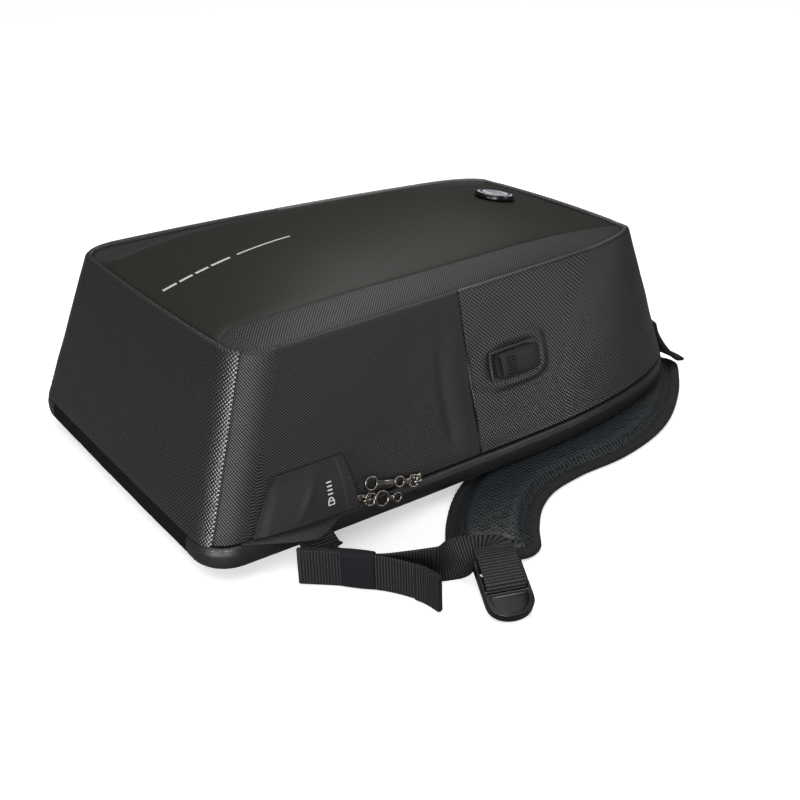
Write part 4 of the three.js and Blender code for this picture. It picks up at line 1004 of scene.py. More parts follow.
def make_seams():
    """Stitching down both edges of the corner seams, the side seams and the top seams."""
    finish = materials()
    ups = np.linspace(0.03, 0.93, 160)
    rows = []
    for place in (PORT_CORNER, TOP_SEAM):
        for sign in (-1, 1):
            for t in (place, far(place)):
                rows.append(seam_line("seam_%d" % len(rows), np.full_like(ups, t), ups,
                                      sign * 2.6))
    side = port_side_at(SIDE_SEAM, ups)
    rows.append(seam_line("seam_side_port", side, ups, 3.4))
    rows.append(seam_line("seam_side_far", far(side), ups, -3.4))
    finish_piece(join("wall_stitching", rows), finish["thread"])


# Back


def inset_rings(insets, heights, count=160):
    """Rings of the base outline, each moved inwards and scaled towards the middle of the bag."""
    t = np.linspace(0, 8, count, endpoint=False)
    rings = []
    for inset, height in zip(insets, heights):
        ring = band_points(t, np.array([height]), np.array([min(inset, 24.0)]))[:, 0]
        ring[:, :2] *= 1 - max(inset - 24.0, 0) / 150.0
        rings.append(ring)
    return np.stack(rings)


def make_back():
    """The back plate, a slab with a rolled edge, and the padded mesh cushion that lies on the floor."""
    finish = materials()
    low, high = box_mm("back_panel")
    insets = np.array([10.0, 10.6, 13, 22, 60, 110, 149.0, 149.0, 60, 22, 13, 10.6])
    heights = np.concatenate([[low[2] + 1.2, low[2] + 0.3], np.full(5, low[2]), np.full(3, high[2]),
                              [high[2] - 0.1, high[2] - 1.2]])
    points = inset_rings(insets, heights).transpose(1, 0, 2)
    plate = tube("soft_back_panel", points, joined=True, uv=points[..., :2], sharp=60)
    finish_piece(plate, finish["under"], ("back_panel",))
    cushion = back_cushion()
    finish_piece(cushion, finish["mesh"], ("back_pad",))


def back_cushion():
    """A long cushion: a rounded rectangle whose depth rises as a quarter circle from its edge.

    Two long channels and a cross channel are pressed into the side away from the floor, and the
    cloth is blown up against them before the shape is set.
    """
    low, high = box_mm("back_pad")
    size, middle = (high - low), (high + low) / 2
    u, v = np.linspace(-1, 1, 120), np.linspace(-1, 1, 70)
    x = u[:, None] * (size[0] / 2 - 0.5) * np.sqrt(1 - 0.012 * v[None, :] ** 8)
    y = v[None, :] * (size[1] / 2 - 0.5) * np.sqrt(1 - 0.05 * u[:, None] ** 8)
    corner = np.sqrt(1 - 0.42 * (u[:, None] ** 8) * (v[None, :] ** 8))
    x, y = x * corner, y * corner
    edge = np.minimum((1 - np.abs(u))[:, None] * size[0] / 2,
                      (1 - np.abs(v))[None, :] * size[1] / 2)
    round_off = np.sqrt(1 - np.clip(1 - edge / 7.0, 0, 1) ** 2)
    channels = bump_at(np.abs(y), 34.0, 3.2) + 0.7 * bump_at(np.abs(x), 62.0, 3.0)
    thick = size[2] / 2 * (0.35 + 0.65 * round_off)
    top = middle[2] + thick - 2.4 * np.minimum(channels, 1) * round_off
    base = middle[2] - thick
    upper = np.stack([x + middle[0], y + middle[1], top], -1)
    under = np.stack([x + middle[0], y + middle[1], base], -1)[:, ::-1]
    cushion = tube("soft_back_pad", np.concatenate([upper, under], 1), sharp=80)
    return puffed(cushion, 1.2, (low[2], high[2]))


PUFF_FRAMES = 20
PUFF_SETTINGS = dict(use_pressure=True, uniform_pressure_force=4.0, quality=4, tension_stiffness=30,
                     compression_stiffness=30, bending_stiffness=2.0)


def puffed(piece, cap, floor_and_top, pinned=None):
    """Blows a closed cloth piece up with Blender's cloth, and lets no point move past the cap."""
    scene = bpy.context.scene
    mesh = piece.data
    count = len(mesh.vertices)
    before = np.empty(count * 3, np.float32)
    mesh.vertices.foreach_get("co", before)
    cloth = piece.modifiers.new("Cloth", "CLOTH")
    settings = cloth.settings
    for name, value in PUFF_SETTINGS.items():
        setattr(settings, name, value)
    settings.effector_weights.gravity = 0.0
    if pinned is not None:
        group = piece.vertex_groups.new(name="held")
        group.add(np.flatnonzero(pinned).tolist(), 1.0, "REPLACE")
        settings.vertex_group_mass = "held"
    for number in range(1, PUFF_FRAMES + 1):
        scene.frame_set(number)
    shape = piece.evaluated_get(bpy.context.evaluated_depsgraph_get()).data
    after = np.empty(count * 3, np.float32)
    shape.vertices.foreach_get("co", after)
    scene.frame_set(1)
    piece.modifiers.remove(cloth)
    piece.vertex_groups.clear()
    start, moved = before.reshape(-1, 3), after.reshape(-1, 3)
    step = moved - start
    excess = np.maximum(np.linalg.norm(step, axis=1, keepdims=True) / (cap * MM), 1)
    result = start + step / excess
    result[:, 2] = np.clip(result[:, 2], floor_and_top[0] * MM, floor_and_top[1] * MM)
    mesh.vertices.foreach_set("co", result.ravel())
    mesh.update()
    return piece


# Badge, port and flap


def placed(points, seat):
    """Points in a seat's own axes, in the bag's axes."""
    return points @ seat[:3, :3].T + seat[:3, 3]


def turned(name, rows, sides, seat):
    """A profile of radii and heights turned about an axis, closed at its ends, set on a seat."""
    rows = np.array(rows, float)
    turn = np.linspace(0, 2 * np.pi, sides, endpoint=False)
    ring = np.stack([np.cos(turn), np.sin(turn)], -1)
    heights = np.broadcast_to(rows[:, 1, None, None], (len(rows), sides, 1))
    points = np.concatenate([rows[:, 0, None, None] * ring, heights], -1)
    return tube(name, placed(points, seat), sharp=35)


def face_seat(along, standoff):
    """Axes on the domed front at a distance from the bottom end: the third is the dome's normal."""
    x, step = along - HALF_LENGTH, 4.0
    behind, here, ahead = (float(face_height(np.array(spot), 0.0)) for spot in (x - step, x, x + step))
    normal = unit(np.array([-(ahead - behind) / (2 * step), 0.0, 1.0]))
    seat = np.eye(4)
    seat[:3, 1] = (0, 1, 0)
    seat[:3, 2] = normal
    seat[:3, 0] = np.cross((0, 1, 0), normal)
    seat[:3, 3] = np.array([x, 0, here]) + normal * standoff
    return seat


def make_badge():
    """A plain round badge: a dark rim, a white enamelled face, a thin ring and plain bars."""
    finish = materials()
    seat = face_seat(359.0, 0.6)
    rim = turned("badge_rim_ring", (
        (0.02, 0), (16.6, 0), (17, 0.5), (17, 3.0), (16.7, 3.6), (16.1, 3.95), (15.5, 3.9),
        (15.3, 3.5), (15.3, 2.0), (0.02, 2.0)), 96, seat)
    finish_piece(rim, finish["plastic"], ("badge_rim",))
    face = turned("badge_enamel", (
        (0.02, 2.3), (14.8, 2.3), (15.0, 2.5), (15.0, 3.4), (14.4, 3.72), (10, 3.9), (5, 3.98),
        (0.02, 4.0)), 96, seat)
    finish_piece(face, finish["enamel"], ("badge_face",))
    marks = [turned("badge_ring", ((12.2, 3.83), (13.2, 3.79), (13.2, 3.93), (12.2, 3.98),
                                   (12.2, 3.9), (12.2, 3.86)), 72, seat)]
    for i, (middle, half) in enumerate(((-4.2, 7.0), (0.0, 8.6), (4.2, 7.0))):
        x = np.linspace(middle - 0.8, middle + 0.8, 4)[:, None, None]
        y = np.linspace(-half, half, 14)[None, :, None]
        grid = np.concatenate(np.broadcast_arrays(x, y, np.full((1, 1, 1), 4.03)), -1)
        marks.append(sheet_mesh("badge_bar_%d" % i, placed(grid, seat), 0.1))
    finish_piece(join("badge_marking", marks), finish["mark"])


def wall_seat(along, up, standoff):
    """Axes on the port side: the first runs along the wall, the second up it, the third out."""
    t = port_side_at(np.array(along), np.array(up))
    run, _, inward = wall_axes(t, np.array(up))
    seat = np.eye(4)
    seat[:3, 0] = run
    seat[:3, 1] = np.cross(-inward, run)
    seat[:3, 2] = -inward
    seat[:3, 3] = on_wall(t, np.array(up)) - inward * standoff
    return seat


def superellipse(exponent, sides):
    """A curve |y|^n + |z|^n = 1: the cosine and sine of a turn to the power 2 / n, signs kept."""
    turn = np.linspace(0, 2 * np.pi, sides, endpoint=False) + np.pi / sides
    return (np.sign(wave) * np.abs(wave) ** (2 / exponent) for wave in (np.cos(turn), np.sin(turn)))


def block(name, sections, seat, exponent=4.0, sides=64):
    """Superellipse sections along a line, at each x of (x, half width, half height, middle z)."""
    ring_y, ring_z = superellipse(exponent, sides)
    rows = np.array(sections, float)
    x = np.broadcast_to(rows[:, 0, None], (len(rows), sides))
    y = rows[:, 1, None] * ring_y
    z = rows[:, 3, None] + rows[:, 2, None] * ring_z
    return tube(name, placed(np.stack([x, y, z], -1), seat), sharp=40)


def make_port():
    """The charging port: a moulded housing with a socket in its end, on a flat base."""
    finish = materials()
    seat = wall_seat(PORT_DISTANCE, 0.5, 0.6)
    base = block("port_base_plate", (
        (-22.5, 10.6, 0.7, 1.1), (-22.2, 11.2, 1.0, 1.1), (-21.5, 11.5, 1.1, 1.1),
        (21.5, 11.5, 1.1, 1.1), (22.2, 11.2, 1.0, 1.1), (22.5, 10.6, 0.7, 1.1)), seat, 9)
    finish_piece(base, finish["coarse"], ("port_base",))
    floor = 2.5
    mid = floor + 4.5
    shell = block("port_shell", (
        (-7, 6.2, 2.8, mid), (-18.4, 6.5, 3.0, mid), (-18.9, 6.9, 3.3, mid), (-19, 7.4, 3.7, mid),
        (-19, 8.2, 3.9, mid), (-18.7, 9.0, 4.3, mid), (-18, 9.4, 4.45, mid), (-16, 9.5, 4.5, mid),
        (10, 9.5, 4.5, mid), (16, 9.3, 4.3, mid - 0.15), (17.8, 8.8, 3.9, mid - 0.4),
        (18.7, 8.0, 3.2, mid - 0.9), (19, 7.0, 2.4, mid - 1.2)), seat, 4)
    finish_piece(shell, finish["port"], ("port_housing",))
    # The perforations are not cut: each is a thin dark disc on the housing, painted shade where a hole
    # would be.
    shade_dots, pitch = [], 2.3
    for i in range(24):
        row, column = i % 6, i // 6
        spot = np.eye(4)
        spot[:3, 3] = (-14 + column * pitch, -5.8 + row * pitch, floor + 8.96)
        profile = ((0.02, 0), (0.75, 0), (0.78, 0.06), (0.02, 0.08))
        shade_dots.append(turned("port_dot_%d" % i, profile, 10, seat @ spot))
    finish_piece(join("port_perforation_painted_shade", shade_dots), finish["hole"])


def flap_grid(columns, rows, extra):
    """The pocket flap: a strip of the wall's own surface, lifted off it towards its open end.

    Hems thicken its open end, its upper and its far edge, and a soft fold runs up it.
    """
    a = np.linspace(0, 1, columns)[:, None]
    b = np.linspace(0, 1, rows)[None, :]
    ends = [mix(foot, top, b) for foot, top in zip(FLAP_FOOT, FLAP_TOP)]
    distance = mix(*ends, a)
    up = np.broadcast_to(b * FLAP_HEIGHT, distance.shape)
    t = port_side_at(distance, up)
    _, _, inward = wall_axes(t, up)
    rise = np.interp(np.broadcast_to(a, up.shape), (0, 0.12, 0.5, 1), (0, 0.35, 0.9, 1))
    puff = 1 - np.broadcast_to(b, up.shape) ** 3
    open_end, upper, far_end = (smooth_step(0.885, 0.9, a), smooth_step(0.9, 0.915, b),
                                smooth_step(0.035, 0.02, a))
    hem = 0.45 * (upper + open_end + far_end)
    lift = 0.4 + 8.1 * rise * puff + 0.3 * np.sin(6 * a + 4 * b) * a * (1 - b) + hem
    lift = lift + 0.7 * bump_at(a, 0.38 + 0.25 * b, 0.05) * np.sin(np.pi * b)
    return on_wall(t, up) - inward * (lift + extra)[..., None]


def make_flap():
    """The flap that pockets the zip pulls, with hems, stitching, a plain padlock and plain bars."""
    finish = materials()
    middle = flap_grid(70, 44, 0.8)
    flap = sheet_mesh("soft_lock_flap", middle, 1.6)
    finish_piece(flap, finish["flap"], ("lock_flap",))
    normal = normals_of(middle)
    sign = 1.0 if normal[35, 20, 1] < 0 else -1.0
    above = middle + normal * sign * 0.85
    rows = []
    for i, pick in enumerate((np.s_[3, :], np.s_[-3, :], np.s_[-9, :], np.s_[:, -4])):
        line = above[pick]
        side = unit(np.cross(run_of(line), normal[pick]))
        rows.append(stitch_row("flap_stitch_%d" % i, line, normal[pick] * sign, side, 3.6, 2.4, 0.26))
    finish_piece(join("flap_stitching", rows), finish["thread"])
    finish_piece(padlock_sign(above, normal * sign), finish["print"])


def on_grid(surface, a, b):
    """Bilinear reading of a grid of points at shares a and b."""
    columns, rows = surface.shape[:2]
    p, q = np.clip(a, 0, 1) * (columns - 1), np.clip(b, 0, 1) * (rows - 1)
    i, j = np.minimum(p.astype(int), columns - 2), np.minimum(q.astype(int), rows - 2)
    s, r = (p - i)[..., None], (q - j)[..., None]
    low = surface[i, j] * (1 - s) + surface[i + 1, j] * s
    high = surface[i, j + 1] * (1 - s) + surface[i + 1, j + 1] * s
    return low * (1 - r) + high * r


def padlock_sign(surface, normal):
    """A thin print of a plain padlock and four plain bars beside it.

    The padlock is the outline of a body with an arch over it. Places are millimetres on the
    flap, and x and y run along its two sides from the near corner at the foot.
    """
    span = (75.0, 45.0)
    centre = (54.5, 13.0)
    half, foot, line = 2.6, -4.0, 0.8

    def patch(name, x, y):
        x, y = np.broadcast_arrays(x, y)
        spot = on_grid(surface, x / span[0], y / span[1])
        out = on_grid(normal, x / span[0], y / span[1])
        return sheet_mesh(name, spot + out * 0.1, 0.12, round_edge=2)

    rows = (
        ("lock_left", (-half, line - half, 3), (foot, 0.0, 6)),
        ("lock_right", (half - line, half, 3), (foot, 0.0, 6)),
        ("lock_foot", (-half, half, 8), (foot, foot + line, 3)),
        ("lock_head", (-half, half, 8), (-line, 0.0, 3)),
    )
    pieces = [patch(name, np.linspace(*x)[:, None] + centre[0], np.linspace(*y)[None, :] + centre[1])
              for name, x, y in rows]
    turn = np.linspace(0, np.pi, 22)[:, None]
    thick = np.linspace(-0.45, 0.45, 3)[None, :]
    pieces.append(patch("lock_arch", centre[0] + (1.75 + thick) * np.cos(turn),
                        centre[1] + 0.1 + (2.3 + thick) * np.sin(turn)))
    for i, low in enumerate((18.0, 21.2, 24.4, 27.6)):
        pieces.append(patch("sign_bar_%d" % i, np.linspace(-2.1, 2.1, 8)[:, None] + centre[0],
                            np.linspace(low, low + 1.1, 3)[None, :]))
    return join("flap_sign", pieces)


# Zip sliders and pulls


def loop_band(name, path, normal, width, depth, seat, closed=True):
    """A rounded strip carried along a path: its section is a superellipse of the 4th power."""
    ring_y, ring_z = superellipse(4.0, 16)
    across, through = ring_y * width / 2, ring_z * depth / 2
    if closed:
        run = unit(np.roll(path, -1, 0) - np.roll(path, 1, 0))
    else:
        run = run_of(path)
    side = unit(np.cross(normal, run))
    points = path[:, None, :] + side[:, None, :] * across[None, :, None]
    points = points + normal * through[None, :, None]
    return tube(name, placed(points, seat), joined=closed, sharp=60)


def arc_path(x, y, radius, turn):
    """Points in plan on a circle about x and y, at the angles of turn."""
    return np.stack([x + radius * np.cos(turn), y + radius * np.sin(turn), np.zeros(len(turn))], -1)


def ring_path(x, radius, count=48):
    """A circle about a point of the X axis."""
    return arc_path(x, 0.0, radius, np.linspace(0, 2 * np.pi, count, endpoint=False))


def rounded_path(x0, x1, half, corner, count=10):
    """A rounded rectangle about the X axis, from x0 to x1 and half each way across."""
    turn = np.linspace(0, np.pi / 2, count)
    middles = ((x1 - corner, half - corner), (x0 + corner, half - corner),
               (x0 + corner, -half + corner), (x1 - corner, -half + corner))
    return np.concatenate([arc_path(x, y, corner, turn + q * np.pi / 2)
                           for q, (x, y) in enumerate(middles)])


def pull_piece(name, rings, neck, seat):
    """A flat metal pull: an eye round the slider's bridge, a neck and ring after ring."""
    parts = [loop_band(name + "_eye", rounded_path(0.0, 6.45, 4.05, 1.6), UP, 1.7, 2.0, seat)]
    start, half, thick, rounded = 6.4, neck / 2, 0.98, 0.3
    for i, (distance, outer, hole) in enumerate(rings):
        width = outer - hole
        path = ring_path(distance, (outer + hole) / 2)
        parts.append(loop_band("%s_ring_%d" % (name, i), path, UP, width, 2.3, seat))
        end = distance - hole - width * 0.4
        parts.append(block("%s_neck_%d" % (name, i), (
            (start, half * 0.86, 0.8, 0), (start + rounded, half, thick, 0),
            ((start + end) / 2, half * 0.8, thick, 0), (end - rounded, half, thick, 0),
            (end, half * 0.86, 0.8, 0)), seat, 5, 32))
        start = distance + hole + width * 0.4
    return join(name, parts)


def slider_piece(name, seat):
    """A zip slider: a domed body with flared shoulders and a bridge arched along the zip."""
    body = block(name + "_body", (
        (-5.5, 3.0, 0.8, 1.3), (-5.2, 3.8, 1.1, 1.3), (-4.2, 4.4, 1.3, 1.3), (-1, 4.0, 1.3, 1.3),
        (1.5, 3.9, 1.3, 1.3), (4.2, 4.4, 1.3, 1.3), (5.2, 3.8, 1.1, 1.3),
        (5.5, 3.0, 0.8, 1.3)), seat, 5, 40)
    turn = np.linspace(np.pi, 0, 25)
    x = 3.3 * np.sign(np.cos(turn)) * np.abs(np.cos(turn)) ** 0.5
    z = 2.2 + 4.2 * np.abs(np.sin(turn)) ** 0.5
    path = np.stack([x, np.zeros_like(x), z], -1)
    bridge = loop_band(name + "_bridge", path, np.array([0, 1.0, 0]), 1.5, 2.3, seat, closed=False)
    return join(name, [body, bridge])


def make_sliders():
    """Both zip sliders and their pulls, each pull turned about its slider's bridge."""
    finish = materials()
    rows = (
        ("upper", 157.0, 164.7, 5.0, ((15, 4.6, 2.6), (38, 5.5, 3.8))),
        ("lower", 114.5, -14.0, 4.5, ((12.5, 6.2, 4.2), (25, 4.0, 2.2))),
    )
    for name, along, turn, neck, rings in rows:
        seat = wall_seat(along, 0.0, 0.9)
        slider = slider_piece(name + "_slider_metal", seat)
        finish_piece(slider, finish["metal"], (name + "_slider",))
        angle = math.radians(turn)
        hinge = np.eye(4)
        hinge[:2, :2] = ((math.cos(angle), -math.sin(angle)), (math.sin(angle), math.cos(angle)))
        hinge[2, 3] = 4.1
        pull = pull_piece(name + "_pull_metal", rings, neck, seat @ hinge)
        finish_piece(pull, finish["metal"], (name + "_pull",), name + "_pull")


# Shoulder straps

STRAP_HALF = 31.0
STRAP_CORNER = 16.0
STRAP_TOP = 9.5
FLANGE_TOP, FLANGE_REACH = 4.2, 6.5


def strap_frame(count):
    """The strap's middle line in plan, with its tangents and its sideways directions."""
    line = smooth_line(table_points(STRAP_ROWS), count)
    run = run_of(line)
    side = np.stack([run[:, 1], -run[:, 0], np.zeros(count)], -1)
    return line, run, side


def strap_half(distance, length):
    """Half the strap's width at a distance: full, less a quarter circle at each end."""
    near = np.clip(STRAP_CORNER - np.minimum(distance, length - distance), 0, STRAP_CORNER)
    return STRAP_HALF - STRAP_CORNER + np.sqrt(np.maximum(STRAP_CORNER**2 - near**2, 0))


def strap_pad(name, mirror):
    """A padded strap: a thin flange all round, and a crowned middle that rises from it.

    Height over a point is the flange's plus a smooth step of its distance from the edge, less a
    shallow channel down the middle.
    """
    columns = 190
    line, _, side = strap_frame(columns)
    length = length_of(line)
    distance = np.linspace(0, length, columns)
    half = strap_half(distance, length)[:, None]
    v = np.sin(np.linspace(-1, 1, 36) * np.pi / 2)[None, :]
    from_side = (1 - np.abs(v)) * half
    from_end = np.minimum(distance, length - distance)[:, None]
    inset = np.minimum(from_side, from_end)
    top = FLANGE_TOP + (STRAP_TOP - FLANGE_TOP - 0.9) * smooth_step(FLANGE_REACH, 15, inset)
    top = top + 0.5 * (1 - v**2) * smooth_step(10, 24, from_end)
    channel = 0.9 * bump_at(v * half, 0, 2.2) * smooth_step(16, 26, from_end)
    base = 1.8 * (1 - smooth_step(FLANGE_REACH, 9, inset))
    flat = line[:, None, :] + side[:, None, :] * (v * half)[..., None]
    upper = flat + UP * (top - channel)[..., None]
    under = (flat + UP * base[..., None])[:, ::-1]
    points = mirrored(np.concatenate([upper, under], 1), mirror)
    uv = np.broadcast_arrays(distance[:, None], np.concatenate([v * half, (v * half)[:, ::-1]], 1))
    piece = tube(name, points, uv=np.stack(uv, -1), sharp=80)
    held = np.concatenate([inset < 8, np.ones_like(inset, bool)], 1).ravel()
    return puffed(piece, 1.0, (0.0, STRAP_TOP), held)


def strap_binding(name, mirror):
    """Puckered tape folded over the strap's edge: a C-shaped section carried round its outline."""
    line, _, side = strap_frame(240)
    length = length_of(line)
    turn = np.linspace(0, np.pi / 2, 9)
    low = np.stack([STRAP_CORNER - STRAP_CORNER * np.cos(turn),
                    STRAP_HALF - STRAP_CORNER + STRAP_CORNER * np.sin(turn)], -1)
    middle = np.linspace(STRAP_CORNER, length - STRAP_CORNER, 150)[1:-1]
    high = np.stack([length - low[::-1, 0], low[::-1, 1]], -1)
    half_loop = np.concatenate([low, np.stack([middle, np.full_like(middle, STRAP_HALF)], -1), high])
    loop = np.concatenate([half_loop, half_loop[::-1] * np.array([1, -1])])
    fine = dense_loop(loop, 900)
    distance, across = fine[:, 0], fine[:, 1]
    spots = np.linspace(0, length, 240)
    middle_line = read_line(distance, spots, line)
    flat = middle_line + read_line(distance, spots, side) * across[:, None]
    run_edge = unit(np.roll(flat, -1, 0) - np.roll(flat, 1, 0))
    outward = np.stack([run_edge[:, 1], -run_edge[:, 0], np.zeros(len(flat))], -1)
    probe = 100
    sign = np.sign(np.sum(outward[probe] * (flat[probe] - middle_line[probe])))
    outward = outward * (sign if sign else 1)
    s = np.arange(len(flat)) * 1.3
    pucker = 0.28 * np.sin(s * 2 * np.pi / 7.0 + 1.4 * np.sin(s / 23))
    pucker = pucker + 0.14 * np.sin(s * 2 * np.pi / 4.1)
    bend = np.linspace(np.pi / 2, -np.pi / 2, 9)
    over, below = [(6.5, 4.6), (5.9, 5.5), (3.5, 5.7)], [(3.5, 0.3), (5.9, 0.4), (6.5, 1.3)]
    fold = np.stack([0.9 - 2.4 * np.cos(bend), 3 + 2.6 * np.sin(bend)], -1)
    inner = [(5.0, 1.55), (2.0, 1.55), (0.2, 1.55), (-0.25, 3.0), (0.2, 4.45), (2.0, 4.45), (5.0, 4.45)]
    section = np.concatenate([over, fold, below, inner])
    weight = np.concatenate([[0.4, 1, 1.2], np.cos(bend) * 0.6 + 0.3, [0.3, 0.2, 0.1],
                             np.zeros(len(inner))])
    inset = section[:, 0][None, :] - 0.25 * pucker[:, None] * weight
    height = section[:, 1][None, :] + pucker[:, None] * weight * (section[:, 1] > 3)
    points = flat[:, None, :] - outward[:, None, :] * inset[..., None]
    points = points + UP * height[..., None]
    return tube(name, mirrored(points, mirror), joined=True, sharp=80)


def dense_loop(loop, count):
    """A closed line of points read at even distances round it."""
    closed = np.concatenate([loop, loop[:1]])
    run = run_lengths(closed)
    return read_line(np.linspace(0, run[-1], count, endpoint=False), run, closed)


def strap_root(name, mirror):
    """The folded tab that joins a strap to the top: down the wall, over the trim, out on the pad."""
    columns, count = 44, 46
    a = np.linspace(0, 1, columns)
    t = mix(1.88, 2.2, a)
    clear = 2.6
    reach = mix(21.0, 8.0, a)
    foot = STRAP_TOP + CLEARANCE + 1.5

    def beside(out, height):
        return np.stack([*beside_outline(t, BASE, out), np.broadcast_to(height, out.shape)], -1)

    def on_the_wall(up):
        ups = np.full_like(t, up)
        return on_wall(t, ups) - wall_axes(t, ups)[2] * clear

    bend = np.full_like(t, TRIM_BULGE + clear)
    rows = [on_the_wall(0.16), on_the_wall(0.08)]
    for out, down in ((0.1, 0.12), (0.35, 0.5), (0.62, 0.86), (0.82, 1.0), (1.0, 1.0)):
        rows.append(beside(bend + out * reach, mix(WALL_FOOT, foot, down)))
    grid = np.stack([smooth_line(line, count) for line in np.stack(rows, 1)])
    wave_down, wave_along = np.sin(np.linspace(0, 9, count)), np.sin(np.linspace(0, 5, columns))
    grid[..., 2] += 0.25 * wave_down[None, :] * wave_along[:, None]
    grid[..., 2] = np.maximum(grid[..., 2], foot)
    return sheet_mesh(name, mirrored(grid, mirror), 3.0)


def make_straps():
    """Two padded shoulder straps in spacer mesh, their puckered binding and their folded roots."""
    finish = materials()
    for side, mirror in (("port", 1), ("far", -1)):
        pad = strap_pad("soft_strap_pad_" + side, mirror)
        finish_piece(pad, finish["mesh"], ("strap_pad_" + side,))
        binding = strap_binding("soft_strap_binding_" + side, mirror)
        finish_piece(binding, finish["tape"], ("strap_binding_" + side,))
        root = strap_root("soft_strap_root_" + side, mirror)
        finish_piece(root, finish["tape"], ("strap_root_" + side,))
        wing = wing_sheet("soft_strap_wing_" + side, mirror)
        finish_piece(wing, finish["wall"], ("strap_wing_" + side,))


# Webbing, keeper and buckle

WEBBING = 25.0
WEBBING_THICKNESS = 1.5
LAYER = 2.1
WEBBING_FOOT = 1.4
WEBBING_MIDDLE = WEBBING_FOOT + WEBBING / 2
HELD = table_points(TAIL_ROWS[3:5])
HELD_RUN = unit(HELD[1] - HELD[0])
HELD_BEHIND = np.array([HELD_RUN[1], -HELD_RUN[0], 0])
HELD_MIDDLE = (HELD[0] + HELD[1]) / 2 + HELD_BEHIND * LAYER
TILT, HEADING = math.radians(25.0), math.radians(-110.0)
BUCKLE = dict(length=44.0, width=31.0, thickness=7.0, bar=8.0, slot=5.0)
BUCKLE_SEAT = np.array([0.304 * LENGTH - HALF_LENGTH, -1.128 * STRAP_REACH,
                        BUCKLE["length"] / 2 * math.sin(TILT)
                        + BUCKLE["thickness"] / 2 * math.cos(TILT) + CLEARANCE])


def on_buckle(x, z, y=0.0):
    """A point on the tipped buckle, from its own axes: turned about Y by its tilt, then about Z."""
    tip_x = x * math.cos(TILT) + z * math.sin(TILT)
    tip_z = -x * math.sin(TILT) + z * math.cos(TILT)
    c, s = math.cos(HEADING), math.sin(HEADING)
    return np.array([c * tip_x - s * y, s * tip_x + c * y, tip_z]) + BUCKLE_SEAT


def shifted(line, distance):
    """A line in plan moved sideways by a distance."""
    run = run_of(line)
    return line + np.stack([-run[:, 1], run[:, 0], np.zeros(len(line))], -1) * distance


def upright_strip(name, line, thickness, mirror):
    """Webbing on its edge: a line in plan raised by the webbing's width, and cut square."""
    rows = 16
    height = np.linspace(WEBBING_FOOT, WEBBING_FOOT + WEBBING, rows)
    grid = np.repeat(line[:, None, :], rows, 1)
    grid[..., 2] = height
    return sheet_mesh(name, mirrored(grid, mirror), thickness)


def webbing_tail(name, mirror):
    """The loose end: hemmed, led through the keeper, folded back round a half circle and out."""
    front = smooth_line(table_points(TAIL_ROWS), 150)
    back = shifted(smooth_line(table_points(LEAD_ROWS), 120), -LAYER)
    middle = (front[-1] + back[-1]) / 2
    turn = -np.linspace(0, np.pi, 14)[1:-1]
    arm = front[-1] - middle
    fold_line = middle + np.stack([arm[0] * np.cos(turn) - arm[1] * np.sin(turn),
                                   arm[0] * np.sin(turn) + arm[1] * np.cos(turn), 0 * turn], -1)
    line = np.concatenate([front, fold_line, back[::-1]])
    strip = upright_strip(name, line, WEBBING_THICKNESS, mirror)
    hems = [upright_strip("%s_hem_%d" % (name, i), shifted(front[:32], offset), 1.0, mirror)
            for i, offset in enumerate((-1.28, 1.28))]
    return join(name, [strip, *hems])


def ribbon_grid(line, width, lean):
    """A ribbon along a line: its width leans by an angle from lying flat towards standing up."""
    run = run_of(line)
    flat = unit(np.stack([run[:, 1], -run[:, 0], np.zeros(len(line))], -1))
    upright = unit(np.cross(run, flat))
    across = flat * np.cos(lean)[:, None] + upright * np.sin(lean)[:, None]
    v = np.linspace(-0.5, 0.5, 16)[None, :, None] * width
    return line[:, None, :] + across[:, None, :] * v


def ribbon(name, rows, width, lean_at, mirror, count=110):
    """A webbing ribbon through points, whose lean follows the share of the way."""
    line = smooth_line(np.array(rows), count)
    lean = lean_at(np.linspace(0, 1, count))
    return sheet_mesh(name, mirrored(ribbon_grid(line, width, lean), mirror), WEBBING_THICKNESS)


def anchor_strip(name, mirror):
    """The strip from under the wing into the keeper, turning on to its edge on the way."""
    t = port_side_at(np.array([mix(WING_START, WING_END, WING_TIP)]), np.zeros(1))
    under = TRIM_TOP - WEBBING_THICKNESS

    def beside(out, height):
        x, y = beside_outline(t, BASE, out)
        return (x[0], y[0], height)

    def held(distance, extra=0.0):
        at = HELD_MIDDLE + HELD_BEHIND * (LAYER + extra) + HELD_RUN * distance
        return (at[0], at[1], WEBBING_MIDDLE)

    rows = [beside(3.3, under - 1), beside(8.4, under - 4.4), beside(15.4, under - 8.8),
            held(20, 2 * LAYER), held(12), held(-9)]
    return ribbon(name, rows, WEBBING, lambda u: math.pi / 2 * smooth_step(0.25, 0.62, u), mirror)


def lead_strip(name, mirror):
    """The strip from the tail, turning over and down into the buckle's second slot."""
    back = shifted(smooth_line(table_points(LEAD_ROWS), 15), -LAYER)
    run = unit(back[0] - back[1])
    over = BUCKLE["thickness"] / 2 + CLEARANCE + WEBBING_THICKNESS
    rows = [(*(back[0] + run * distance)[:2], WEBBING_MIDDLE + rise)
            for distance, rise in ((0, 0), (6, 0), (13, 1.5))]
    for along, rise in ((-9, -4), (-3, -0.4), (4, 1.2), (12, 0.8), (18, 0), (22, -0.8),
                        (24.4, -3.4), (25, -7)):
        rows.append(on_buckle(along - BUCKLE["length"] / 2, over + rise))
    return ribbon(name, rows, WEBBING, lambda u: math.pi / 2 * (1 - smooth_step(0.0, 0.48, u)),
                  mirror, 180)


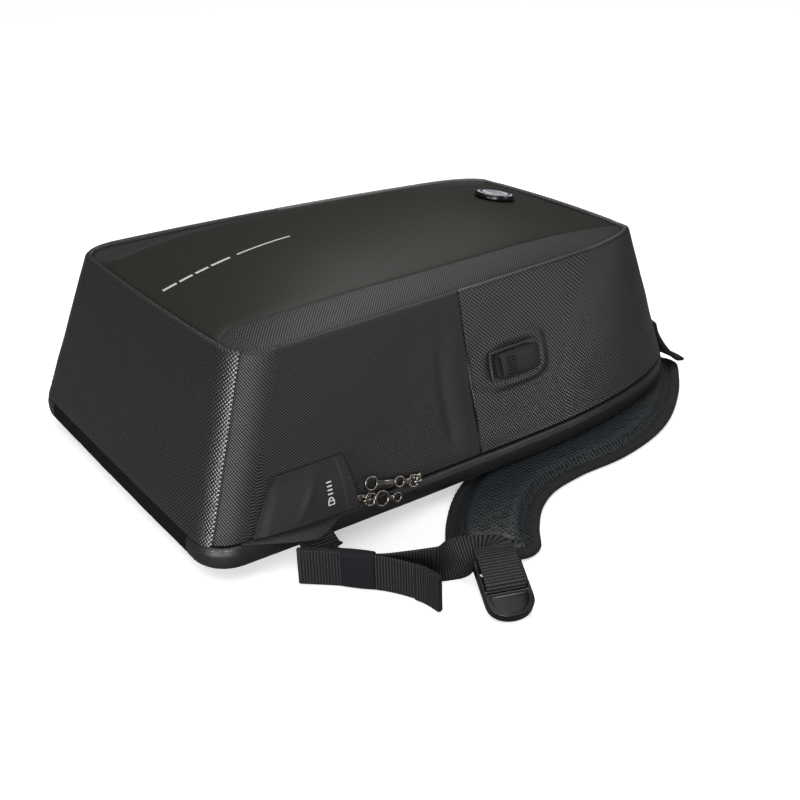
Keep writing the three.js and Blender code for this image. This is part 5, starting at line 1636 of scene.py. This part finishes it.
def buckle_strip(name, mirror):
    """The strip from the strap's lower end to the underside of the buckle."""
    line, run, _ = strap_frame(240)
    top = STRAP_TOP + CLEARANCE + WEBBING_THICKNESS / 2
    below = -BUCKLE["thickness"] / 2 - CLEARANCE - WEBBING_THICKNESS
    rows = [(*(line[-1] - run[-1] * distance)[:2], top) for distance in (8, 4, 0)]
    rows += [on_buckle(-24, below, 7), on_buckle(-14, below, 7)]
    return ribbon(name, rows, 18.0, lambda u: 0 * u, mirror, 60)


def keeper_sleeve(name, mirror):
    """The elastic keeper: a rounded sleeve round the layers, pinched and puffed between its ends."""
    half_in = np.array([LAYER + WEBBING_THICKNESS / 2 + CLEARANCE, WEBBING / 2 + CLEARANCE])
    outer = half_in + 1.1
    corner = outer[0] * 0.85
    turn = np.linspace(0, np.pi / 2, 7)
    ring = []
    for q, (sx, sy) in enumerate(((1, 1), (-1, 1), (-1, -1), (1, -1))):
        ring.append(arc_path(sx * (outer[0] - corner), sy * (outer[1] - corner), corner,
                             turn + q * np.pi / 2)[:, :2])
    ring = dense_loop(np.concatenate(ring), 96)
    on_face = np.sign(ring[:, 0]) * (np.abs(ring[:, 1]) < WEBBING / 2)
    inward = unit(-ring * np.array([0.2, 0.02]) - np.stack([on_face, 0 * on_face], -1))
    outside, inside = 23, 7
    along = np.concatenate([np.linspace(-11, 11, outside), np.linspace(10.6, -10.6, inside)])
    puff = 0.35 * np.cos(np.linspace(-1, 1, outside) * np.pi / 2)
    depth = np.concatenate([0.3 - puff, np.full(inside, 0.95)])
    depth[[0, outside - 1]] = 0.55
    plan = ring[:, None, :] + inward[:, None, :] * depth[None, :, None]
    base = HELD_MIDDLE + np.array([0, 0, WEBBING_MIDDLE])
    points = (base + HELD_RUN * along[None, :, None] + HELD_BEHIND * plan[..., 0:1]
              + UP * plan[..., 1:2])
    return tube(name, mirrored(points, mirror), joined=True, sharp=70)


def buckle_loops():
    """The buckle's outline with its round end, and its two slots, in plan."""
    half, wide = BUCKLE["length"] / 2, BUCKLE["width"] / 2
    turn = np.linspace(-np.pi / 2, np.pi / 2, 40)
    end = np.stack([half - 14 + 14 * np.cos(turn) ** 0.8, wide * np.sin(turn)], -1)
    start = [(-half + 1.5, wide - 0.6), (-half, wide - 2.0), (-half, -wide + 2.0),
             (-half + 1.5, -wide + 0.6), (-half + 3, -wide)]
    loops = [np.concatenate([start, end, [(-half + 3, wide)]])]
    for place in (0, 1):
        x = -half + BUCKLE["bar"] + place * (BUCKLE["slot"] + BUCKLE["bar"])
        loops.append(rounded_path(x, x + BUCKLE["slot"], WEBBING / 2 + 1, 1.2, 6)[:, :2])
    return loops


def buckle_plate(name, mirror):
    """A slotted plate with a rounded edge and a raised thumb rest at its round end."""
    edge = 1.0
    curve = bpy.data.curves.new(name, "CURVE")
    curve.dimensions = "2D"
    curve.fill_mode = "BOTH"
    curve.extrude = (BUCKLE["thickness"] / 2 - edge) * MM
    curve.bevel_depth = edge * MM
    curve.bevel_resolution = 3
    curve.offset = -edge * MM
    for loop in buckle_loops():
        spline = curve.splines.new("POLY")
        spline.points.add(len(loop) - 1)
        places, weights = np.zeros((len(loop), 1)), np.ones((len(loop), 1))
        flat = np.concatenate([loop * MM, places, weights], 1)
        spline.points.foreach_set("co", flat.ravel().astype(np.float32))
        spline.use_cyclic_u = True
    holder = linked(name, curve)
    drawn = holder.evaluated_get(bpy.context.evaluated_depsgraph_get())
    shape = bpy.data.meshes.new_from_object(drawn)
    bpy.data.objects.remove(holder)
    plate = linked(name, shape)
    top = BUCKLE["thickness"] / 2
    rest = block(name + "_rest", ((6.2, 11.6, 0.5, top), (7.0, 12.4, 1.2, top), (8.6, 12.6, 1.7, top),
                                  (12.5, 11.6, 1.2, top), (16.0, 9.6, 0.8, top), (18.6, 6.6, 0.5, top),
                                  (19.6, 4.0, 0.3, top)), np.eye(4), 2.6, 56)
    piece = join(name, [plate, rest])
    tipped = Matrix.Rotation(HEADING, 4, "Z") @ Matrix.Rotation(TILT, 4, "Y")
    piece.data.transform(Matrix.Translation(BUCKLE_SEAT * MM) @ tipped)
    if mirror < 0:
        piece.data.transform(Matrix.Scale(-1, 4, (0, 1, 0)))
    tidy_mesh(piece.data)
    return piece


def tidy_mesh(shape):
    """Merges a mesh's doubles and turns its faces outwards."""
    work = bmesh.new()
    work.from_mesh(shape)
    bmesh.ops.remove_doubles(work, verts=work.verts, dist=0.00002)
    bmesh.ops.recalc_face_normals(work, faces=work.faces)
    for face in work.faces:
        face.smooth = True
    work.to_mesh(shape)
    work.free()
    shape.set_sharp_from_angle(angle=math.radians(40))


def make_webbing():
    """Each strap's webbing, its elastic keeper and its buckle."""
    finish = materials()
    makers = (
        ("webbing_tail_", webbing_tail, "webbing", "tape"),
        ("webbing_anchor_", anchor_strip, "webbing", "tape"),
        ("webbing_lead_", lead_strip, "webbing", "tape"),
        ("buckle_strip_", buckle_strip, "webbing", "tape"),
        ("keeper_", keeper_sleeve, "elastic", "elastic"),
        ("buckle_", buckle_plate, "plastic", "plastic"),
    )
    for side, mirror in (("port", 1), ("far", -1)):
        for node, maker, cloth, slot in makers:
            piece = maker("soft_" + node + side, mirror)
            finish_piece(piece, finish[cloth], (node + side,))


# Stage


def make_floor():
    """A pale floor that the camera sees as white paper, and that throws less light on the bag."""
    side = 60000.0 * np.array([[-1, -1, 0], [1, -1, 0], [1, 1, 0], [-1, 1, 0]])
    floor = make_mesh("studio_floor", side - np.array([0, 0, 0.05]), [[0, 1, 2, 3]])
    material = bpy.data.materials.new("Studio floor")
    material.use_nodes = True
    nodes = Nodes(material.node_tree)
    paper = material.node_tree.nodes["Principled BSDF"].inputs
    seen = nodes.add("ShaderNodeLightPath").outputs["Is Camera Ray"]
    nodes.put(paper["Base Color"], nodes.mix(seen, (0.16, 0.16, 0.16, 1), (0.93, 0.93, 0.93, 1)))
    nodes.put(paper["Roughness"], 0.7)
    nodes.put(paper["Emission Color"], (1, 1, 1, 1))
    nodes.put(paper["Emission Strength"], nodes.math("MULTIPLY", seen, 0.42))
    floor.data.materials.append(material)


def facing(direction, axis):
    """The turn that points an object's own axis along a direction."""
    return Vector(direction).to_track_quat(axis, "Y").to_matrix().to_4x4()


def make_stage():
    """A pale floor, soft studio light and the photograph's camera."""
    scene = bpy.context.scene
    make_floor()
    world = bpy.data.worlds.new("Studio")
    world.use_nodes = True
    back = world.node_tree.nodes["Background"]
    back.inputs["Color"].default_value = (1.0, 1.0, 1.0, 1)
    back.inputs["Strength"].default_value = 0.1
    scene.world = world
    sun = bpy.data.lights.new("studio_sky", "SUN")
    sun.energy = 1.75
    sun.angle = math.radians(70)
    linked("studio_sky", sun, facing((-0.25, -0.1, 1.0), "Z"))
    rows = (
        ("front_box", (-0.95, -1.4, 0.5), 0.5, 15.5),
        ("left_box", (-1.55, -0.66, 0.26), 0.65, 12.0),
        ("right_box", (0.95, -1.4, 0.45), 0.6, 4.0),
        ("top_box", (0.6, 0.55, 1.35), 0.6, 8.0),
    )
    for name, spot, size, power in rows:
        lamp = bpy.data.lights.new("studio_" + name, "AREA")
        lamp.shape = "DISK"
        lamp.size = size
        lamp.energy = power
        linked("studio_" + name, lamp, Matrix.Translation(spot) @ facing(-Vector(spot), "-Z"))
    lens = bpy.data.cameras.new("studio_camera")
    lens.lens = 52.0424
    lens.sensor_width = 36.0
    axes = np.eye(4)
    axes[:3, 0] = (0.82005962, -0.57142966, -0.03115062)
    axes[:3, 1] = (0.27468338, 0.34527799, 0.89740301)
    axes[:3, 2] = (-0.50204707, -0.74448053, 0.44011076)
    axes[:3, 3] = (-0.47264, -0.73968, 0.43632)
    scene.camera = linked("studio_camera", lens, Matrix(axes.tolist()))
    scene.view_settings.view_transform = "Standard"


# Add-on


def paint(name, description, color):
    """A colour that a user may change."""
    return FloatVectorProperty(name=name, description=description, subtype="COLOR", default=color,
                               min=0, max=1)


def pitch_of(name, description, default, lowest):
    """The pitch of a weave, in metres, that a user may change."""
    return FloatProperty(name=name, description=description, default=default, min=lowest, max=0.01,
                         subtype="DISTANCE", unit="LENGTH")


class BackpackSizes(PropertyGroup):
    """Sizes of the cloth that a user may change."""

    waves: FloatProperty(name="Wall waves", default=0.5, min=0.0, max=2.0,
                         description="Depth of the slow waves in the walls, in millimetres")


class BackpackLooks(PropertyGroup):
    """Colours and weaves of the bag's finishes."""

    weave_pitch: pitch_of("Basket weave pitch", "Two threads of the coarse cloth", 0.0029, 0.0005)
    twill_pitch: pitch_of("Fine weave pitch", "Two threads of the fine cloth", 0.0021, 0.0003)
    body: paint("Body cloth", "Colour of the woven walls", (0.0125, 0.0125, 0.0134))
    front: paint("Front panel", "Colour of the smooth front", (0.0200, 0.0188, 0.0152))
    leather: paint("Trim", "Colour of the leatherette trim", (0.006, 0.006, 0.006))
    mesh: paint("Spacer mesh", "Colour of the straps' mesh", (0.0028, 0.0046, 0.0060))
    tape: paint("Binding", "Colour of the binding tape", (0.0100, 0.0096, 0.0093))
    webbing: paint("Webbing", "Colour of the webbing", (0.0095, 0.0093, 0.0090))
    elastic: paint("Keeper", "Colour of the elastic keeper", (0.0018, 0.0028, 0.0052))
    plastic: paint("Plastic", "Colour of buckles and port", (0.0050, 0.0050, 0.0052))
    metal: paint("Gunmetal", "Colour of sliders and pulls", (0.30, 0.275, 0.25))


class BACKPACK_OT_stage(Operator):
    """Makes the pale floor, the studio light and the photograph's camera"""

    bl_idname = "backpack.stage"
    bl_label = "Studio stage"

    def execute(self, context):
        make_stage()
        return {"FINISHED"}


class BACKPACK_OT_walls(Operator):
    """Makes the six padded panels of the walls"""

    bl_idname = "backpack.walls"
    bl_label = "Padded walls"

    def execute(self, context):
        make_walls()
        return {"FINISHED"}


class BACKPACK_OT_seams(Operator):
    """Makes the stitching beside the walls' seams"""

    bl_idname = "backpack.seams"
    bl_label = "Wall stitching"

    def execute(self, context):
        make_seams()
        return {"FINISHED"}


class BACKPACK_OT_front(Operator):
    """Makes the domed front panel, its two strips and the plain bars"""

    bl_idname = "backpack.front"
    bl_label = "Front face"

    def execute(self, context):
        make_front()
        return {"FINISHED"}


class BACKPACK_OT_bands(Operator):
    """Makes the padded trim, its stitching and the zip's coil"""

    bl_idname = "backpack.bands"
    bl_label = "Trim and zip"

    def execute(self, context):
        make_bands()
        return {"FINISHED"}


class BACKPACK_OT_back(Operator):
    """Makes the plate of the back and its padded cushion"""

    bl_idname = "backpack.back"
    bl_label = "Back plate and cushion"

    def execute(self, context):
        make_back()
        return {"FINISHED"}


class BACKPACK_OT_badge(Operator):
    """Makes the plain round badge"""

    bl_idname = "backpack.badge"
    bl_label = "Round badge"

    def execute(self, context):
        make_badge()
        return {"FINISHED"}


class BACKPACK_OT_port(Operator):
    """Makes the charging port and its base"""

    bl_idname = "backpack.port"
    bl_label = "Charging port"

    def execute(self, context):
        make_port()
        return {"FINISHED"}


class BACKPACK_OT_flap(Operator):
    """Makes the flap over the zip pulls, with its padlock sign"""

    bl_idname = "backpack.flap"
    bl_label = "Pocket flap"

    def execute(self, context):
        make_flap()
        return {"FINISHED"}


class BACKPACK_OT_sliders(Operator):
    """Makes both zip sliders and the pulls that turn on them"""

    bl_idname = "backpack.sliders"
    bl_label = "Zip sliders and pulls"

    def execute(self, context):
        make_sliders()
        return {"FINISHED"}


class BACKPACK_OT_straps(Operator):
    """Makes the padded straps, their bindings and roots"""

    bl_idname = "backpack.straps"
    bl_label = "Shoulder straps"

    def execute(self, context):
        make_straps()
        return {"FINISHED"}


class BACKPACK_OT_webbing(Operator):
    """Makes each strap's webbing, keeper and buckle"""

    bl_idname = "backpack.webbing"
    bl_label = "Webbing, keepers and buckles"

    def execute(self, context):
        make_webbing()
        return {"FINISHED"}


OPERATORS = (BACKPACK_OT_stage, BACKPACK_OT_walls, BACKPACK_OT_seams, BACKPACK_OT_front,
             BACKPACK_OT_bands, BACKPACK_OT_back, BACKPACK_OT_badge, BACKPACK_OT_port,
             BACKPACK_OT_flap, BACKPACK_OT_sliders, BACKPACK_OT_straps, BACKPACK_OT_webbing)


class BACKPACK_PT_panel(Panel):
    """Lists the bag's pieces in the sidebar."""

    bl_label = "Backpack"
    bl_idname = "BACKPACK_PT_panel"
    bl_space_type = "VIEW_3D"
    bl_region_type = "UI"
    bl_category = "Backpack"

    def draw(self, context):
        for group in (context.scene.backpack_sizes, context.scene.backpack_looks):
            for name in group.bl_rna.properties.keys():
                if name not in ("rna_type", "name"):
                    self.layout.prop(group, name)
        for kind in OPERATORS:
            self.layout.operator(kind.bl_idname)


CLASSES = (BackpackSizes, BackpackLooks, *OPERATORS, BACKPACK_PT_panel)


def register():
    for kind in CLASSES:
        bpy.utils.register_class(kind)
    bpy.types.Scene.backpack_sizes = PointerProperty(type=BackpackSizes)
    bpy.types.Scene.backpack_looks = PointerProperty(type=BackpackLooks)


def unregister():
    del bpy.types.Scene.backpack_looks
    del bpy.types.Scene.backpack_sizes
    for kind in reversed(CLASSES):
        bpy.utils.unregister_class(kind)


def main():
    register()
    steps = bpy.ops.backpack
    for step in (steps.stage, steps.walls, steps.seams, steps.front, steps.bands, steps.back,
                 steps.badge, steps.port, steps.flap, steps.sliders, steps.straps, steps.webbing):
        step()


if __name__ == "__main__":
    main()
